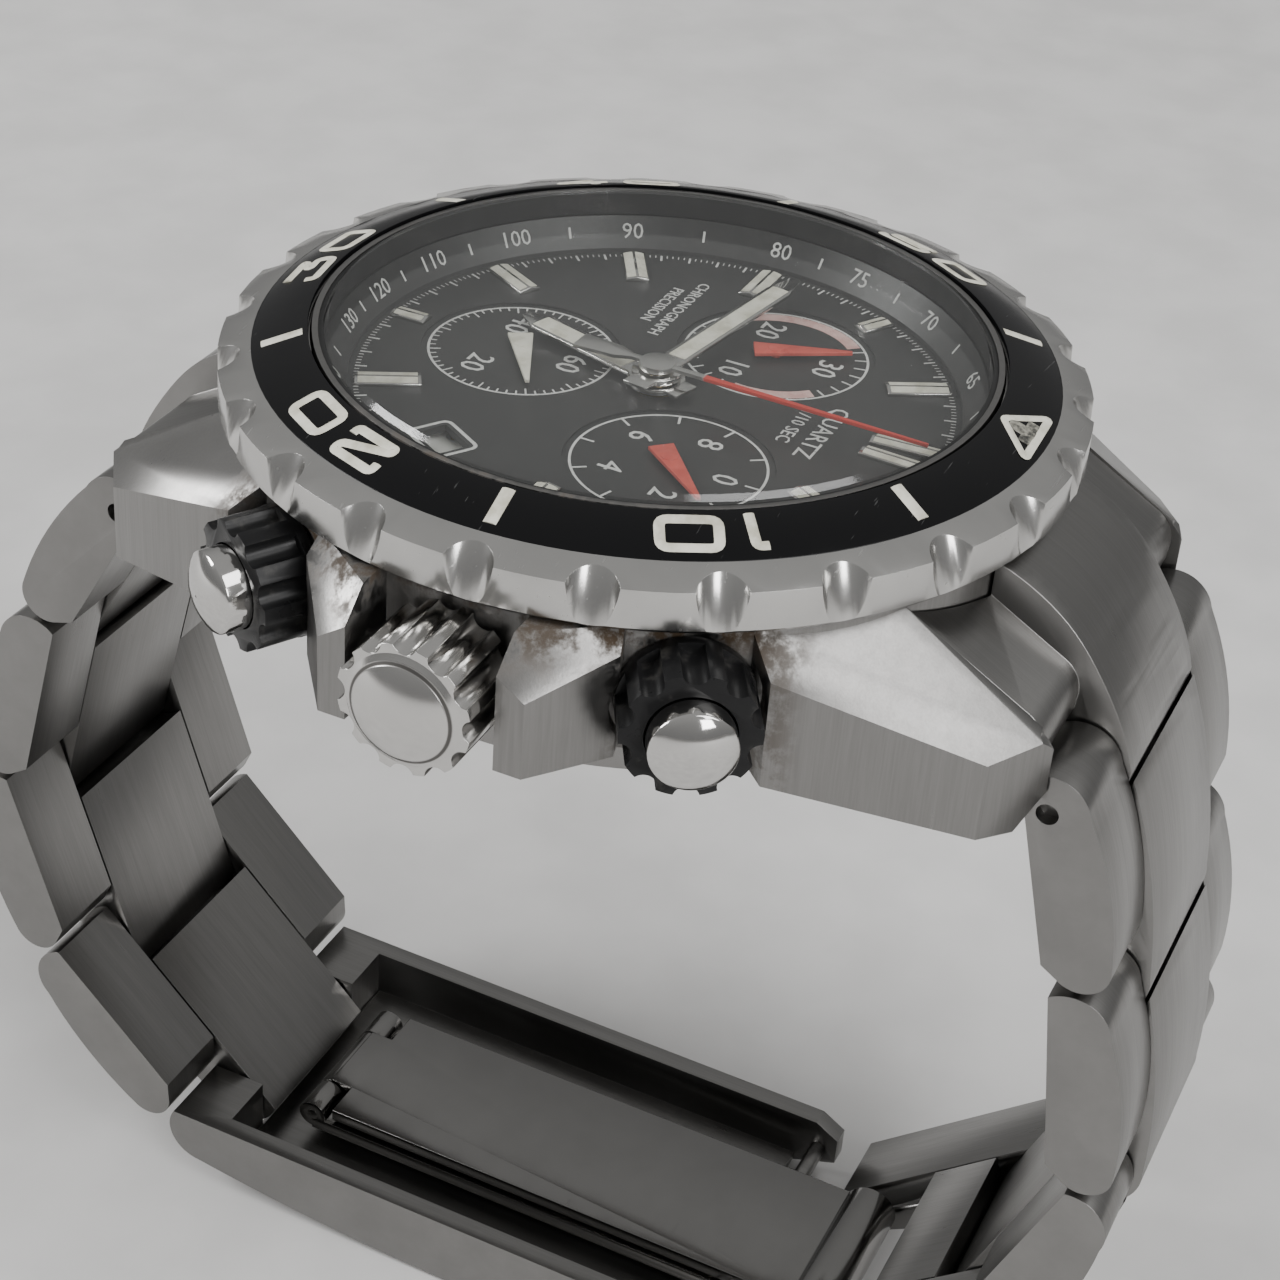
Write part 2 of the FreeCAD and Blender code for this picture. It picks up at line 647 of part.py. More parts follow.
def movement_screws():
    """Slotted screws that hold the bridge to the plate, and a short one for the strap."""
    up = Vector(0, 0, 1)
    screws = []
    for spot in SCREWS + (STRAP_SCREW,):
        short = spot is STRAP_SCREW
        face = BRIDGE_LOW - (STRAP_THICKNESS if short else 0)
        head = rod(0.75, 0.3, spot + Vector(0, 0, face - 0.3), up)
        slot = Part.makeBox(2, 0.2, 0.14, spot + Vector(-1, -0.1, face - 0.31))
        shank = rod(0.35, 0.7 if short else 4.6, spot + Vector(0, 0, face), up)
        screws.append(head.cut(slot).fuse(shank))
    return Part.makeCompound(screws)


COIL_LEVEL = PLATE_LOW - 0.9
COILS = ((Vector(-11.0, 0.6, COIL_LEVEL), 62), (Vector(4.2, 7.2, COIL_LEVEL), -8),
         (Vector(3.2, -6.2, COIL_LEVEL), -12))


def motor_part(make):
    """The same motor piece at each of the three stepping motors."""
    pieces = []
    for spot, turn in COILS:
        piece = make()
        piece.rotate(Vector(0, 0, 0), Vector(0, 0, 1), turn)
        piece.translate(spot)
        pieces.append(piece)
    return Part.makeCompound(pieces)


def coil():
    winding = rod(0.85, 5.0, Vector(-2.5, 0, 0), Vector(1, 0, 0))
    cheeks = Part.makeBox(0.3, 1.9, 1.8, Vector(-2.8, -0.95, -0.9))
    cheeks = cheeks.fuse(Part.makeBox(0.3, 1.9, 1.8, Vector(2.5, -0.95, -0.9)))
    core = Part.makeBox(9, 0.5, 0.4, Vector(-4.5, -0.25, -0.2))
    return winding.fuse(cheeks).cut(core)


def stator():
    core = Part.makeBox(6.6, 0.5, 0.4, Vector(-3.3, -0.25, -0.2))
    for x in (-4.3, 2.9):
        core = core.fuse(Part.makeBox(1.4, 1.6, 0.4, Vector(x, -0.8, -0.2)))
    return core.removeSplitter()


def circuit_board():
    body = tube(13.9, 8.8, BRIDGE_HIGH, BRIDGE_HIGH + 0.3)
    up = Vector(0, 0, 1)
    body = body.cut(rod(value("batteryRadius") + 0.3, 3, BATTERY + Vector(0, 0, 4), up))
    for screw in SCREWS:
        body = body.cut(rod(1.1, 3, screw + Vector(0, 0, 4), up))
    return max(body.Solids, key=lambda s: s.Volume)


def battery_strap():
    """A sprung leaf across the battery, held by one screw and one hook."""
    reach = value("batteryRadius") + 1.6
    strap = Part.makeBox(2.2, reach * 2, STRAP_THICKNESS,
                         BATTERY + Vector(-1.1, -reach, BRIDGE_LOW - STRAP_THICKNESS))
    return strap.cut(rod(0.35, 2, STRAP_SCREW + Vector(0, 0, BRIDGE_LOW - 1), Vector(0, 0, 1)))


feature("movement_ring", movement_ring())
feature("main_plate", main_plate())
feature("train_bridge", train_bridge())
feature("movement_screws", movement_screws())
feature("battery_cell", Part.makeCylinder(value("batteryRadius") - 0.15, value("batteryHeight"),
                                          BATTERY + Vector(0, 0, BRIDGE_LOW)))
feature("battery_strap", battery_strap())
feature("motor_coils", motor_part(coil))
feature("motor_stators", motor_part(stator))
feature("circuit_board", circuit_board())


def gear(teeth, low, high, phase=0.0):
    """A wheel with tapered teeth, on Z, with a tooth centred at the phase angle."""
    pitch = value("toothModule") * teeth / 2
    tip, root = pitch + value("toothModule") * 0.8, pitch - value("toothModule") * 1.15
    step = 360.0 / teeth
    corners = []
    for n in range(teeth):
        for radius, share in ((root, -0.34), (tip, -0.1), (tip, 0.1), (root, 0.34)):
            turn = math.radians(phase + step * (n + share))
            corners.append((radius * math.cos(turn), radius * math.sin(turn)))
    return slab(corners, low, high)


def date_ring():
    body = tube(value("dateRingOuter"), value("dateRingInner"), DATE_RING_LOW, 10.2)
    cuts = []
    for n in range(31):
        notch = rod(0.35, 2, Vector(0, value("dateRingInner"), 9), Vector(0, 0, 1))
        cuts.append(notch.rotated(Vector(0, 0, 0), Vector(0, 0, 1), n * 360.0 / 31))
    return body.cut(Part.makeCompound(cuts))


feature("date_ring", date_ring())

# ---- motion work and hands -------------------------------------------------------------------

cannon = gear(10, 9.47, 9.7, 0).fuse(Part.makeCylinder(0.68, 2.35, Vector(0, 0, 9.47)))
cannon = cannon.cut(Part.makeCylinder(0.4, 4, Vector(0, 0, 9)))
feature("cannon_pinion", cannon.removeSplitter())

minute_wheel = gear(30, 9.47, 9.67, 180 + 6)
minute_wheel = minute_wheel.fuse(gear(8, 9.67, 10.2, 180))
minute_wheel.translate(MINUTE_POST)
minute_wheel = minute_wheel.cut(rod(0.35, 3, MINUTE_POST + Vector(0, 0, 9), Vector(0, 0, 1)))
feature("minute_wheel", minute_wheel)

hour_wheel = gear(32, 9.95, 10.15, 360.0 / 64)
hour_wheel = hour_wheel.fuse(Part.makeCylinder(1.0, 1.35, Vector(0, 0, 10.0)))
hour_wheel = hour_wheel.cut(Part.makeCylinder(0.73, 4, Vector(0, 0, 9)))
feature("hour_wheel", hour_wheel.removeSplitter())


def hand(label, length, tail, width, tip_width, hub, bore, low, angle, centre, back_width=None):
    """A hand: a bar that narrows to its tip, a round hub pressed on its pipe, and a tail."""
    thick = value("handThickness")
    back = width if back_width is None else back_width
    plan = [(-back / 2, -tail), (back / 2, -tail), (width / 2, 0), (width / 2, length * 0.86),
            (tip_width / 2, length), (-tip_width / 2, length), (-width / 2, length * 0.86),
            (-width / 2, 0)]
    body = slab(plan, 0, thick)
    body = body.fuse(Part.makeCylinder(hub, thick + 0.12, Vector(0, 0, -0.12)))
    body = body.cut(Part.makeCylinder(bore, 4, Vector(0, 0, -2)))
    spin = Rotation(Vector(0, 0, 1), -angle)
    return feature(label, body.removeSplitter(), Placement(centre + Vector(0, 0, low), spin))


hand("hour_hand", value("hourHandLength"), 2.0, 1.55, 0.5, 1.45, 1.0, 11.3, 197, Vector(0, 0, 0))
hand("minute_hand", value("minuteHandLength"), 2.0, 1.35, 0.5, 1.25, 0.68, 11.72, 278.4,
     Vector(0, 0, 0))


def chrono_hand():
    """A thin sweep hand with a broad counterweight, fixed on its long arbor."""
    thick = value("handThickness")
    reach = value("chronoHandLength")
    plan = [(-0.7, -4.4), (0.7, -4.4), (0.55, -2.2), (0.2, -1.4), (0.2, 0), (0.07, reach),
            (-0.07, reach), (-0.2, 0), (-0.2, -1.4), (-0.55, -2.2)]
    body = slab(plan, 12.12, 12.12 + thick)
    body = body.fuse(Part.makeCylinder(0.9, 0.3, Vector(0, 0, 12.05)))
    return body.fuse(Part.makeCylinder(0.33, 5.1, Vector(0, 0, 7.1)))


feature("chrono_seconds_hand", chrono_hand().removeSplitter(),
        Placement(Vector(0, 0, 0), Rotation(Vector(0, 0, 1), -2.3)))
chrono_wheel = gear(40, 7.1, 7.35).cut(Part.makeCylinder(0.33, 3, Vector(0, 0, 6)))
feature("chrono_wheel", chrono_wheel)

COUNTER_BEARINGS = {"tenth_counter": 44.6, "running_seconds": 58.6, "minute_counter": 333.1}
for name, angle in COUNTERS:
    spot = bearing(angle, value("counterOffset"))
    thick = value("handThickness")
    reach = value("counterHandLength")
    plan = [(-0.65, -1.15), (0.65, -1.15), (0.1, reach), (-0.1, reach)]
    body = slab(plan, 11.08, 11.08 + thick)
    body = body.fuse(Part.makeCylinder(0.42, thick + 0.14, Vector(0, 0, 11.0)))
    body = body.fuse(Part.makeCylinder(0.22, 3.0, Vector(0, 0, 8.1)))
    spin = Rotation(Vector(0, 0, 1), -COUNTER_BEARINGS[name])
    feature(name + "_hand", body.removeSplitter(), Placement(spot, spin))

# ---- bracelet ----------------------------------------------------------------------------------

PITCH = value("linkPitch")
NOSE = value("linkNose")
CENTRE_NOSE = value("centreNose")
FLOOR = value("linkFloor")
CENTRE = value("centreHalf")
OUTER = value("braceletHalf")
ROW = CENTRE + value("rowGap")
PIN = value("pinRadius")
PIN_BORE = PIN + value("pinClearance")
JOIN_PIN = Vector(0, 5.2, 0.75)
SMALL_PIN = 0.45


def line(a, b):
    return Part.LineSegment(Vector(0, a[0], a[1]), Vector(0, b[0], b[1])).toShape()


def arc(a, b, c):
    points = [Vector(0, p[0], p[1]) for p in (a, b, c)]
    return Part.Arc(*points).toShape()


def curve(*places):
    spline = Part.BSplineCurve()
    spline.interpolate([Vector(0, p[0], p[1]) for p in places])
    return spline.toShape()


def round_at(radius, height):
    """How far along a circle round the pin lies at a height."""
    return math.sqrt(radius * radius - height * height)


def outer_outline(tail):
    """An outer link piece in side view: along the link, then outward. Pin at the origin."""
    near = -round_at(NOSE, FLOOR)
    if tail:
        far = PITCH + round_at(NOSE, FLOOR)
        return Part.Wire([
            arc((near, -FLOOR), (-NOSE, 0), (0, NOSE)),
            arc((0, NOSE), (PITCH / 2, value("linkCrown")), (PITCH, NOSE)),
            arc((PITCH, NOSE), (PITCH + NOSE, 0), (far, -FLOOR)),
            line((far, -FLOOR), (near, -FLOOR)),
        ])
    end = PITCH - NOSE - 0.15
    return Part.Wire([
        arc((near, -FLOOR), (-NOSE, 0), (0, NOSE)),
        arc((0, NOSE), (end * 0.5, value("linkCrown")), (end - 1.3, 2.35)),
        arc((end - 1.3, 2.35), (end - 0.15, 1.1), (end - 0.75, -0.4)),
        line((end - 0.75, -0.4), (end - 1.5, -FLOOR)),
        line((end - 1.5, -FLOOR), (near, -FLOOR)),
    ])


def centre_outline(short):
    """A centre link piece: hollow near end round its own pin, round nose on the next."""
    hollow = CENTRE_NOSE + value("noseClearance")
    start = (round_at(hollow, 2.5), 2.5)
    low = (round_at(hollow, FLOOR), -FLOOR)
    mid_turn = math.radians(25)
    middle = (hollow * math.cos(mid_turn), hollow * math.sin(mid_turn))
    if short:
        end = PITCH - 4.9
        return Part.Wire([
            arc(low, middle, start),
            arc(start, (end * 0.6, value("centreCrown") - 0.1), (end - 0.7, 2.6)),
            arc((end - 0.7, 2.6), (end, 1.4), (end, 0.4)),
            line((end, 0.4), (end - 0.5, -FLOOR)),
            line((end - 0.5, -FLOOR), low),
        ])
    far = PITCH + round_at(CENTRE_NOSE, FLOOR)
    return Part.Wire([
        arc(low, middle, start),
        arc(start, (PITCH / 2, value("centreCrown")), (PITCH, CENTRE_NOSE)),
        arc((PITCH, CENTRE_NOSE), (PITCH + CENTRE_NOSE, 0), (far, -FLOOR)),
        line((far, -FLOOR), low),
    ])


def cross_pin(radius, half, spot):
    return rod(radius, 2 * half, Vector(-half, spot.y, spot.z), Vector(1, 0, 0))


def link(last, open_hole):
    """One bracelet unit: two outer pieces, a centre piece, the pins that join and hinge them."""
    own, far = Vector(0, 0, 0), Vector(0, PITCH, 0)
    centre = side_slab(centre_outline(last), -CENTRE, CENTRE)
    centre = centre.cut(cross_pin(SMALL_PIN, 12, JOIN_PIN))
    if not last:
        centre = centre.cut(cross_pin(PIN_BORE, 12, far))
    pieces = [centre, cross_pin(SMALL_PIN, OUTER - 1.0, JOIN_PIN)]
    for side in (1, -1):
        piece = side_slab(outer_outline(last), ROW, OUTER)
        piece = piece.cut(cross_pin(SMALL_PIN, OUTER - 1.0, JOIN_PIN))
        reach = OUTER + 1 if open_hole else OUTER - 0.7
        piece = piece.cut(cross_pin(PIN, reach, own))
        if last:
            piece = piece.cut(cross_pin(PIN, OUTER - 0.7, far))
        if side < 0:
            piece = mirrored(piece, Vector(1, 0, 0))
        pieces.append(piece)
        if last:
            stub = rod(PIN, OUTER - 0.7 - ROW, Vector(ROW, PITCH, 0), Vector(1, 0, 0))
            pieces.append(stub if side > 0 else mirrored(stub, Vector(1, 0, 0)))
    pieces.append(cross_pin(PIN, OUTER - 0.7, own))
    return Part.makeCompound(pieces)


def end_link():
    """The fixed link that fills the gap between the lugs and follows the case."""
    pin_y, pin_z = value("lugPinOut"), value("lugPinHeight")
    reach = value("lugReach")
    inner = value("bodyRadius") + 0.12
    nose = CENTRE_NOSE
    middle = Part.Wire([
        line((17.0, 3.4), (17.0, 10.15)),
        line((17.0, 10.15), (19.4, 10.1)),
        curve((19.4, 10.1), (21.0, 9.5), (24.0, 7.5), (25.7, 5.4), (27.3, 2.6),
              (pin_y + nose, pin_z)),
        arc((pin_y + nose, pin_z), (pin_y + nose * 0.7, pin_z - nose * 0.714),
            (pin_y, pin_z - nose)),
        arc((pin_y, pin_z - nose), (pin_y - nose * 0.7, pin_z - nose * 0.714),
            (pin_y - nose, pin_z)),
        line((pin_y - nose, pin_z), (21.0, 3.0)),
        line((21.0, 3.0), (17.0, 3.4)),
    ])
    shoulder = Part.Wire([
        line((17.0, 3.4), (17.0, 9.75)),
        line((17.0, 9.75), (reach - 1.6, 6.05)),
        arc((reach - 1.6, 6.05), (reach - 0.75, 5.3), (reach - 0.5, 4.3)),
        line((reach - 0.5, 4.3), (reach - 0.6, 3.35)),
        line((reach - 0.6, 3.35), (21.0, 3.0)),
        line((21.0, 3.0), (17.0, 3.4)),
    ])
    body = side_slab(shoulder, -value("lugGap") / 2 + 0.1, value("lugGap") / 2 - 0.1)
    body = body.fuse(side_slab(middle, -CENTRE, CENTRE))
    body = body.cut(Part.makeCylinder(inner, 30, Vector(0, 0, -5)))
    body = body.cut(cross_pin(PIN_BORE, 12, Vector(0, pin_y, pin_z)))
    body = body.cut(cross_pin(0.95, 12, spring_bar_seat()))
    return body.removeSplitter()


def spring_bars():
    seat_at = spring_bar_seat()
    bars = []
    for side in (1, -1):
        spot = Vector(0, seat_at.y * side, seat_at.z)
        barrel = cross_pin(0.88, value("lugGap") / 2 - 0.15, spot)
        bars.append(barrel.fuse(cross_pin(0.42, value("lugGap") / 2 + 1.4, spot)).removeSplitter())
    return Part.makeCompound(bars)


twelve_end = end_link()
feature("end_link_12", twelve_end)
feature("end_link_6", mirrored(twelve_end, Vector(0, 1, 0)))
feature("spring_bars", spring_bars())

# Each link's lean, in degrees outward from straight down, from the case to the clasp.
TWELVE_SIDE = (14.0, 8.0, -22.0, -50.0)
SIX_SIDE = (30.0, 14.0, -18.0)


def step_on(start, lean):
    turn = math.radians(lean)
    return (start[0] + PITCH * math.sin(turn), start[1] - PITCH * math.cos(turn))


def chain(leans):
    places = [(value("lugPinOut"), value("lugPinHeight"))]
    for lean in leans:
        places.append(step_on(places[-1], lean))
    return places


twelve_pins = chain(TWELVE_SIDE)
six_pins = chain(SIX_SIDE)
# The last link on the 6 o'clock side and the clasp close the loop: two known lengths that
# meet the last pin on the 12 o'clock side.
near = (-six_pins[-1][0], six_pins[-1][1])
goal = twelve_pins[-1]
span = math.hypot(goal[0] - near[0], goal[1] - near[1])
CLASP = value("claspLength")
between = math.acos((PITCH ** 2 + span ** 2 - CLASP ** 2) / (2 * PITCH * span))
line_turn = math.atan2(goal[1] - near[1], goal[0] - near[0])
last_turn = line_turn - between
clasp_pin = (near[0] + PITCH * math.cos(last_turn), near[1] + PITCH * math.sin(last_turn))
last_lean = -math.degrees(math.atan2(clasp_pin[0] - near[0], near[1] - clasp_pin[1]))
clasp_turn = math.atan2(goal[1] - clasp_pin[1], goal[0] - clasp_pin[0])


def link_placement(pin, lean, six):
    """Lay a link's own Y axis along its lean, with its outer face away from the wrist."""
    turn = Rotation(Vector(1, 0, 0), lean - 90)
    if six:
        turn = Rotation(Vector(0, 0, 1), 180).multiply(turn)
        return Placement(Vector(0, -pin[0], pin[1]), turn)
    return Placement(Vector(0, pin[0], pin[1]), turn)


for n, lean in enumerate(TWELVE_SIDE):
    feature("link_12_%d" % (n + 1), link(n == 3, n == 0),
            link_placement(twelve_pins[n], lean, False))
for n, lean in enumerate(SIX_SIDE + (last_lean,)):
    feature("link_6_%d" % (n + 1), link(False, n == 0), link_placement(six_pins[n], lean, True))

# ---- clasp: drawn along +Y from the last pin of the 6 o'clock side, +Z away from the wrist --

COVER_END = value("claspCoverEnd")
COVER_PIVOT = Vector(0, COVER_END + 1.5, 0.95)
FOLD_PIVOT = Vector(0, 4.8, 0.3)
BLADE = value("bladeHalf")
THICK = value("bladeThickness")
SIDE_IN = OUTER - 1.5
CLASP_PLACE = Placement(
    Vector(0, clasp_pin[0], clasp_pin[1]),
    Rotation(Vector(0, 1, 0), 180).multiply(Rotation(Vector(1, 0, 0), -math.degrees(clasp_turn))))


def clasp_cover():
    near_end = -round_at(NOSE, FLOOR)
    wall = Part.Wire([
        arc((near_end, -FLOOR), (-NOSE, 0), (0, NOSE)),
        arc((0, NOSE), (COVER_END / 2, 3.4), (COVER_END, 2.6)),
        line((COVER_END, 2.6), (COVER_END + 2.7, 1.6)),
        line((COVER_END + 2.7, 1.6), (COVER_END + 2.7, -0.2)),
        line((COVER_END + 2.7, -0.2), (COVER_END + 1.2, -FLOOR)),
        line((COVER_END + 1.2, -FLOOR), (near_end, -FLOOR)),
    ])
    roof = Part.Wire([
        line((3.0, 2.0), (COVER_END, 2.0)), line((COVER_END, 2.0), (COVER_END, 2.6)),
        arc((COVER_END, 2.6), (COVER_END / 2, 3.4), (0, NOSE)), line((0, NOSE), (3.0, 2.0)),
    ])
    half = OUTER - 0.3
    walls = side_slab(wall, SIDE_IN, half)
    knuckle = walls.fuse(side_slab(wall, ROW, half).common(
        Part.makeBox(40, 4.6, 20, Vector(-20, -3, -10))))
    body = knuckle.fuse(mirrored(knuckle, Vector(1, 0, 0)))
    roof_box = side_slab(roof, -half, half).cut(cross_pin(CENTRE_NOSE + 0.2, 12, Vector(0, 0, 0)))
    body = body.fuse(roof_box)
    body = body.cut(cross_pin(PIN, half - 0.7, Vector(0, 0, 0)))
    body = body.cut(cross_pin(0.5, half - 0.5, COVER_PIVOT))
    pin_a = cross_pin(PIN, half - 0.7, Vector(0, 0, 0))
    pin_b = cross_pin(0.5, half - 0.5, COVER_PIVOT)
    return Part.makeCompound([body.removeSplitter(), pin_a, pin_b])


def blade_bar(start, end, low, high):
    return Part.makeBox(2 * BLADE, end - start, high - low, Vector(-BLADE, start, low))


def clasp_blade_long():
    """The upper blade, hinged in the cover's ears and forked at its fold."""
    high = 1.35
    body = blade_bar(FOLD_PIVOT.y, COVER_PIVOT.y, high - THICK, high)
    body = body.fuse(cross_pin(0.82, BLADE, COVER_PIVOT)).fuse(cross_pin(0.9, BLADE, FOLD_PIVOT))
    body = body.cut(Part.makeBox(5.2, 2.6, 6, Vector(-2.6, FOLD_PIVOT.y - 1.2, -3)))
    body = body.cut(cross_pin(0.55, 12, COVER_PIVOT)).cut(cross_pin(0.35, 12, FOLD_PIVOT))
    return Part.makeCompound([body.removeSplitter(), cross_pin(0.35, BLADE, FOLD_PIVOT)])


def clasp_blade_inner():
    """The lower blade, against the wrist, with the tube that meets the 12 o'clock side."""
    end = Vector(0, CLASP, 0)
    low = 0.1 - THICK
    body = Part.makeBox(2 * BLADE, CLASP - FOLD_PIVOT.y - 1.4, THICK,
                        Vector(-BLADE, FOLD_PIVOT.y + 1.4, low))
    tongue = Part.makeBox(5.0, 2.4, THICK, Vector(-2.5, FOLD_PIVOT.y, low))
    body = body.fuse(tongue).fuse(cross_pin(0.9, 2.5, FOLD_PIVOT)).fuse(cross_pin(1.6, BLADE, end))
    return body.cut(cross_pin(0.4, 12, FOLD_PIVOT)).cut(cross_pin(PIN_BORE, 12, end)).removeSplitter()


feature("clasp_cover", clasp_cover(), CLASP_PLACE)
feature("clasp_blade_upper", clasp_blade_long(), CLASP_PLACE)
feature("clasp_blade_lower", clasp_blade_inner(), CLASP_PLACE)

# ---- check and write ---------------------------------------------------------------------------

doc.recompute()
for thing in doc.Objects:
    if {"Invalid", "Error"} & set(thing.State):
        raise RuntimeError("%s did not compute: %s" % (thing.Label, thing.State))
for node in nodes:
    if node.Shape.isNull() or not node.Shape.isValid() or not node.Shape.Solids:
        raise RuntimeError("%s has no valid shape" % node.Label)
os.makedirs("parts", exist_ok=True)
for node in nodes:
    node.Shape.exportStep("parts/%s.step" % node.Label)
print("%d nodes written" % len(nodes))
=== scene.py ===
import json
import math

import bpy
from mathutils import Matrix, Vector

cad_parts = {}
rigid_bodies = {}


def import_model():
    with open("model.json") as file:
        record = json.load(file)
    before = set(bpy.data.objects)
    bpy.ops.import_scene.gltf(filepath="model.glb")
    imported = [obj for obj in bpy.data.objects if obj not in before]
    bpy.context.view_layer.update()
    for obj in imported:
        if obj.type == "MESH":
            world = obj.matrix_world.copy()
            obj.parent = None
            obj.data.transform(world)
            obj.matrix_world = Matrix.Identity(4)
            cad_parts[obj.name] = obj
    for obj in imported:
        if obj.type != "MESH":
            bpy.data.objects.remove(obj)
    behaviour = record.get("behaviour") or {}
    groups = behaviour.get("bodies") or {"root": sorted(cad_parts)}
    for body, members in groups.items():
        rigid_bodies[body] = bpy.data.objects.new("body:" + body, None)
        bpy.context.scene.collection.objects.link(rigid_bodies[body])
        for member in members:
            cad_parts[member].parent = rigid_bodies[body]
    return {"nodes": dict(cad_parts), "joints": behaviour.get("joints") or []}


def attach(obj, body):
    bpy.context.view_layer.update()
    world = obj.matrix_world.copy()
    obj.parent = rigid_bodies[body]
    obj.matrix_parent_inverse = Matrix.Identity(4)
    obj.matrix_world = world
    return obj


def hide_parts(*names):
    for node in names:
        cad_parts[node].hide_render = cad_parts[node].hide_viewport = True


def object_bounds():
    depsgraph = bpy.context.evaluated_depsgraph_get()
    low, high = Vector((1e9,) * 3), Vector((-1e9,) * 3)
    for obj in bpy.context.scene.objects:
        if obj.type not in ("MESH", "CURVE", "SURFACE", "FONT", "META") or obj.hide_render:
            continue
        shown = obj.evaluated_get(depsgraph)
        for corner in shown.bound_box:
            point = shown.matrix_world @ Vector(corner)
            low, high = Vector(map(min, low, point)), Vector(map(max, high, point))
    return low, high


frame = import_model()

cad_box = [[float(c) for c in corner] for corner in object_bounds()]

# ---- Camera ----
# A close view from the crown's side, a little above the bezel, with the watch turned so that
# 12 o'clock is at the right of the frame.

MM = 0.001
bpy.ops.object.select_all(action="DESELECT")
bpy.ops.object.camera_add(location=(107.72 * MM, 46.06 * MM, 73.44 * MM))
camera = bpy.context.object
look = Vector((-0.7670, -0.3265, -0.5524)).normalized()
right = Vector((-0.4296, 0.9008, 0.0641))
right = (right - look * right.dot(look)).normalized()
up = right.cross(look)
camera.matrix_world = Matrix.Translation(camera.location) @ Matrix(
    (right, up, -look)).transposed().to_4x4()
camera.data.sensor_width = 36
camera.data.lens = 74.87
camera.data.clip_start = 0.001
bpy.context.scene.camera = camera

# ---- Floor and light ----
# A pale matt table under the watch, a wide soft box high on the 12 o'clock side, a smaller one
# below it on the crown's side, and another on the 6 o'clock side.


class Socket:
    """A socket in a material: arithmetic on it adds Math nodes, node() adds any other."""

    def __init__(self, tree, socket):
        self.tree = tree
        self.socket = socket

    def node(self, kind, settings=None, out=0, **values):
        made = self.tree.nodes.new("ShaderNode" + kind)
        for name, setting in (settings or {}).items():
            setattr(made, name, setting)
        for name, value in values.items():
            name = int(name[1:]) if name[1:].isdigit() else name.replace("_", " ")
            if isinstance(value, Socket):
                self.tree.links.new(value.socket, made.inputs[name])
            else:
                made.inputs[name].default_value = value
        return Socket(self.tree, made.outputs[out])

    def math(self, operation, a, b):
        return self.node("Math", {"operation": operation}, _0=a, _1=b)

    def __add__(self, other):
        return self.math("ADD", self, other)

    def __sub__(self, other):
        return self.math("SUBTRACT", self, other)

    def __rsub__(self, other):
        return self.math("SUBTRACT", other, self)

    def __mul__(self, other):
        return self.math("MULTIPLY", self, other)

    def __pow__(self, other):
        return self.math("POWER", self, other)

    __radd__ = __add__
    __rmul__ = __mul__

    def between(self, low, high):
        """0 below low, 1 above high, and smooth in the gap."""
        return self.node("MapRange", {"interpolation_type": "SMOOTHSTEP"}, Value=self,
                         From_Min=low, From_Max=high)

    def blend(self, first, second):
        """The first colour where this is 0, the second where it is 1."""
        return self.node("Mix", {"data_type": "RGBA"}, out=2, Factor=self, _6=first, _7=second)

    def noise(self, scale, detail=3.0, roughness=0.5):
        return self.node("TexNoise", Vector=self, Scale=scale, Detail=detail,
                         Roughness=roughness)

    def mapped(self, scale=(1, 1, 1), turn=(0, 0, 0), move=(0, 0, 0)):
        return self.node("Mapping", Vector=self, Scale=scale, Rotation=turn, Location=move)


def material(name, metallic=0.0, **plain):
    """A Principled material, its shader node, and the Object coordinate."""
    made = bpy.data.materials.new(name)
    made.use_nodes = True
    shader = made.node_tree.nodes["Principled BSDF"]
    shader.inputs["Metallic"].default_value = metallic
    for key, value in plain.items():
        shader.inputs[key.replace("_", " ")].default_value = value
    coordinate = made.node_tree.nodes.new("ShaderNodeTexCoord")
    return made, shader, Socket(made.node_tree, coordinate.outputs["Object"])


def feed(shader, **values):
    """Join what varies over a surface to the shader's own sockets."""
    for name, value in values.items():
        value.tree.links.new(value.socket, shader.inputs[name.replace("_", " ")])


def warm_grey(level):
    return (level * 1.012, level, level * 0.988, 1.0)


floor_finish, shader, place = material("pale_cloth_table", Roughness=0.9)
speck = place.noise(90.0, 5.0)
feed(shader, Base_Color=speck.between(0.3, 0.7).blend(warm_grey(0.62), warm_grey(0.70)))
bpy.ops.object.select_all(action="DESELECT")
bpy.ops.mesh.primitive_plane_add(size=6.0, location=(0, 0, cad_box[0][2] - 0.2 * MM))
floor = bpy.context.object
floor.name = "table"
floor.data.materials.append(floor_finish)


def soft_box(name, place, width, height, power):
    """A rectangular lamp that faces the watch, with sizes in metres and power in watts."""
    bpy.ops.object.light_add(type="AREA", location=place)
    lamp = bpy.context.object
    lamp.name = name
    lamp.data.shape = "RECTANGLE"
    lamp.data.size = width
    lamp.data.size_y = height
    lamp.data.energy = power
    lamp.rotation_euler = (-Vector(place)).to_track_quat("-Z", "Y").to_euler()


soft_box("overhead_box", (0.08, 0.40, 0.52), 0.45, 0.35, 2.6)
soft_box("window_box", (0.20, -0.60, 0.35), 0.30, 0.25, 4.0)
soft_box("fill_box", (0.40, 0.55, 0.30), 0.25, 0.25, 2.0)
world = bpy.data.worlds.new("studio")
world.use_nodes = True
sky = world.node_tree
place = Socket(sky, sky.nodes.new("ShaderNodeTexCoord").outputs["Generated"])
height = place.node("SeparateXYZ", out=2, Vector=place)
haze = height.between(-0.2, 0.9).blend((0.42, 0.42, 0.42, 1), (0.80, 0.80, 0.79, 1))
sky.links.new(haze.socket, sky.nodes["Background"].inputs["Color"])
sky.nodes["Background"].inputs["Strength"].default_value = 0.57
bpy.context.scene.world = world

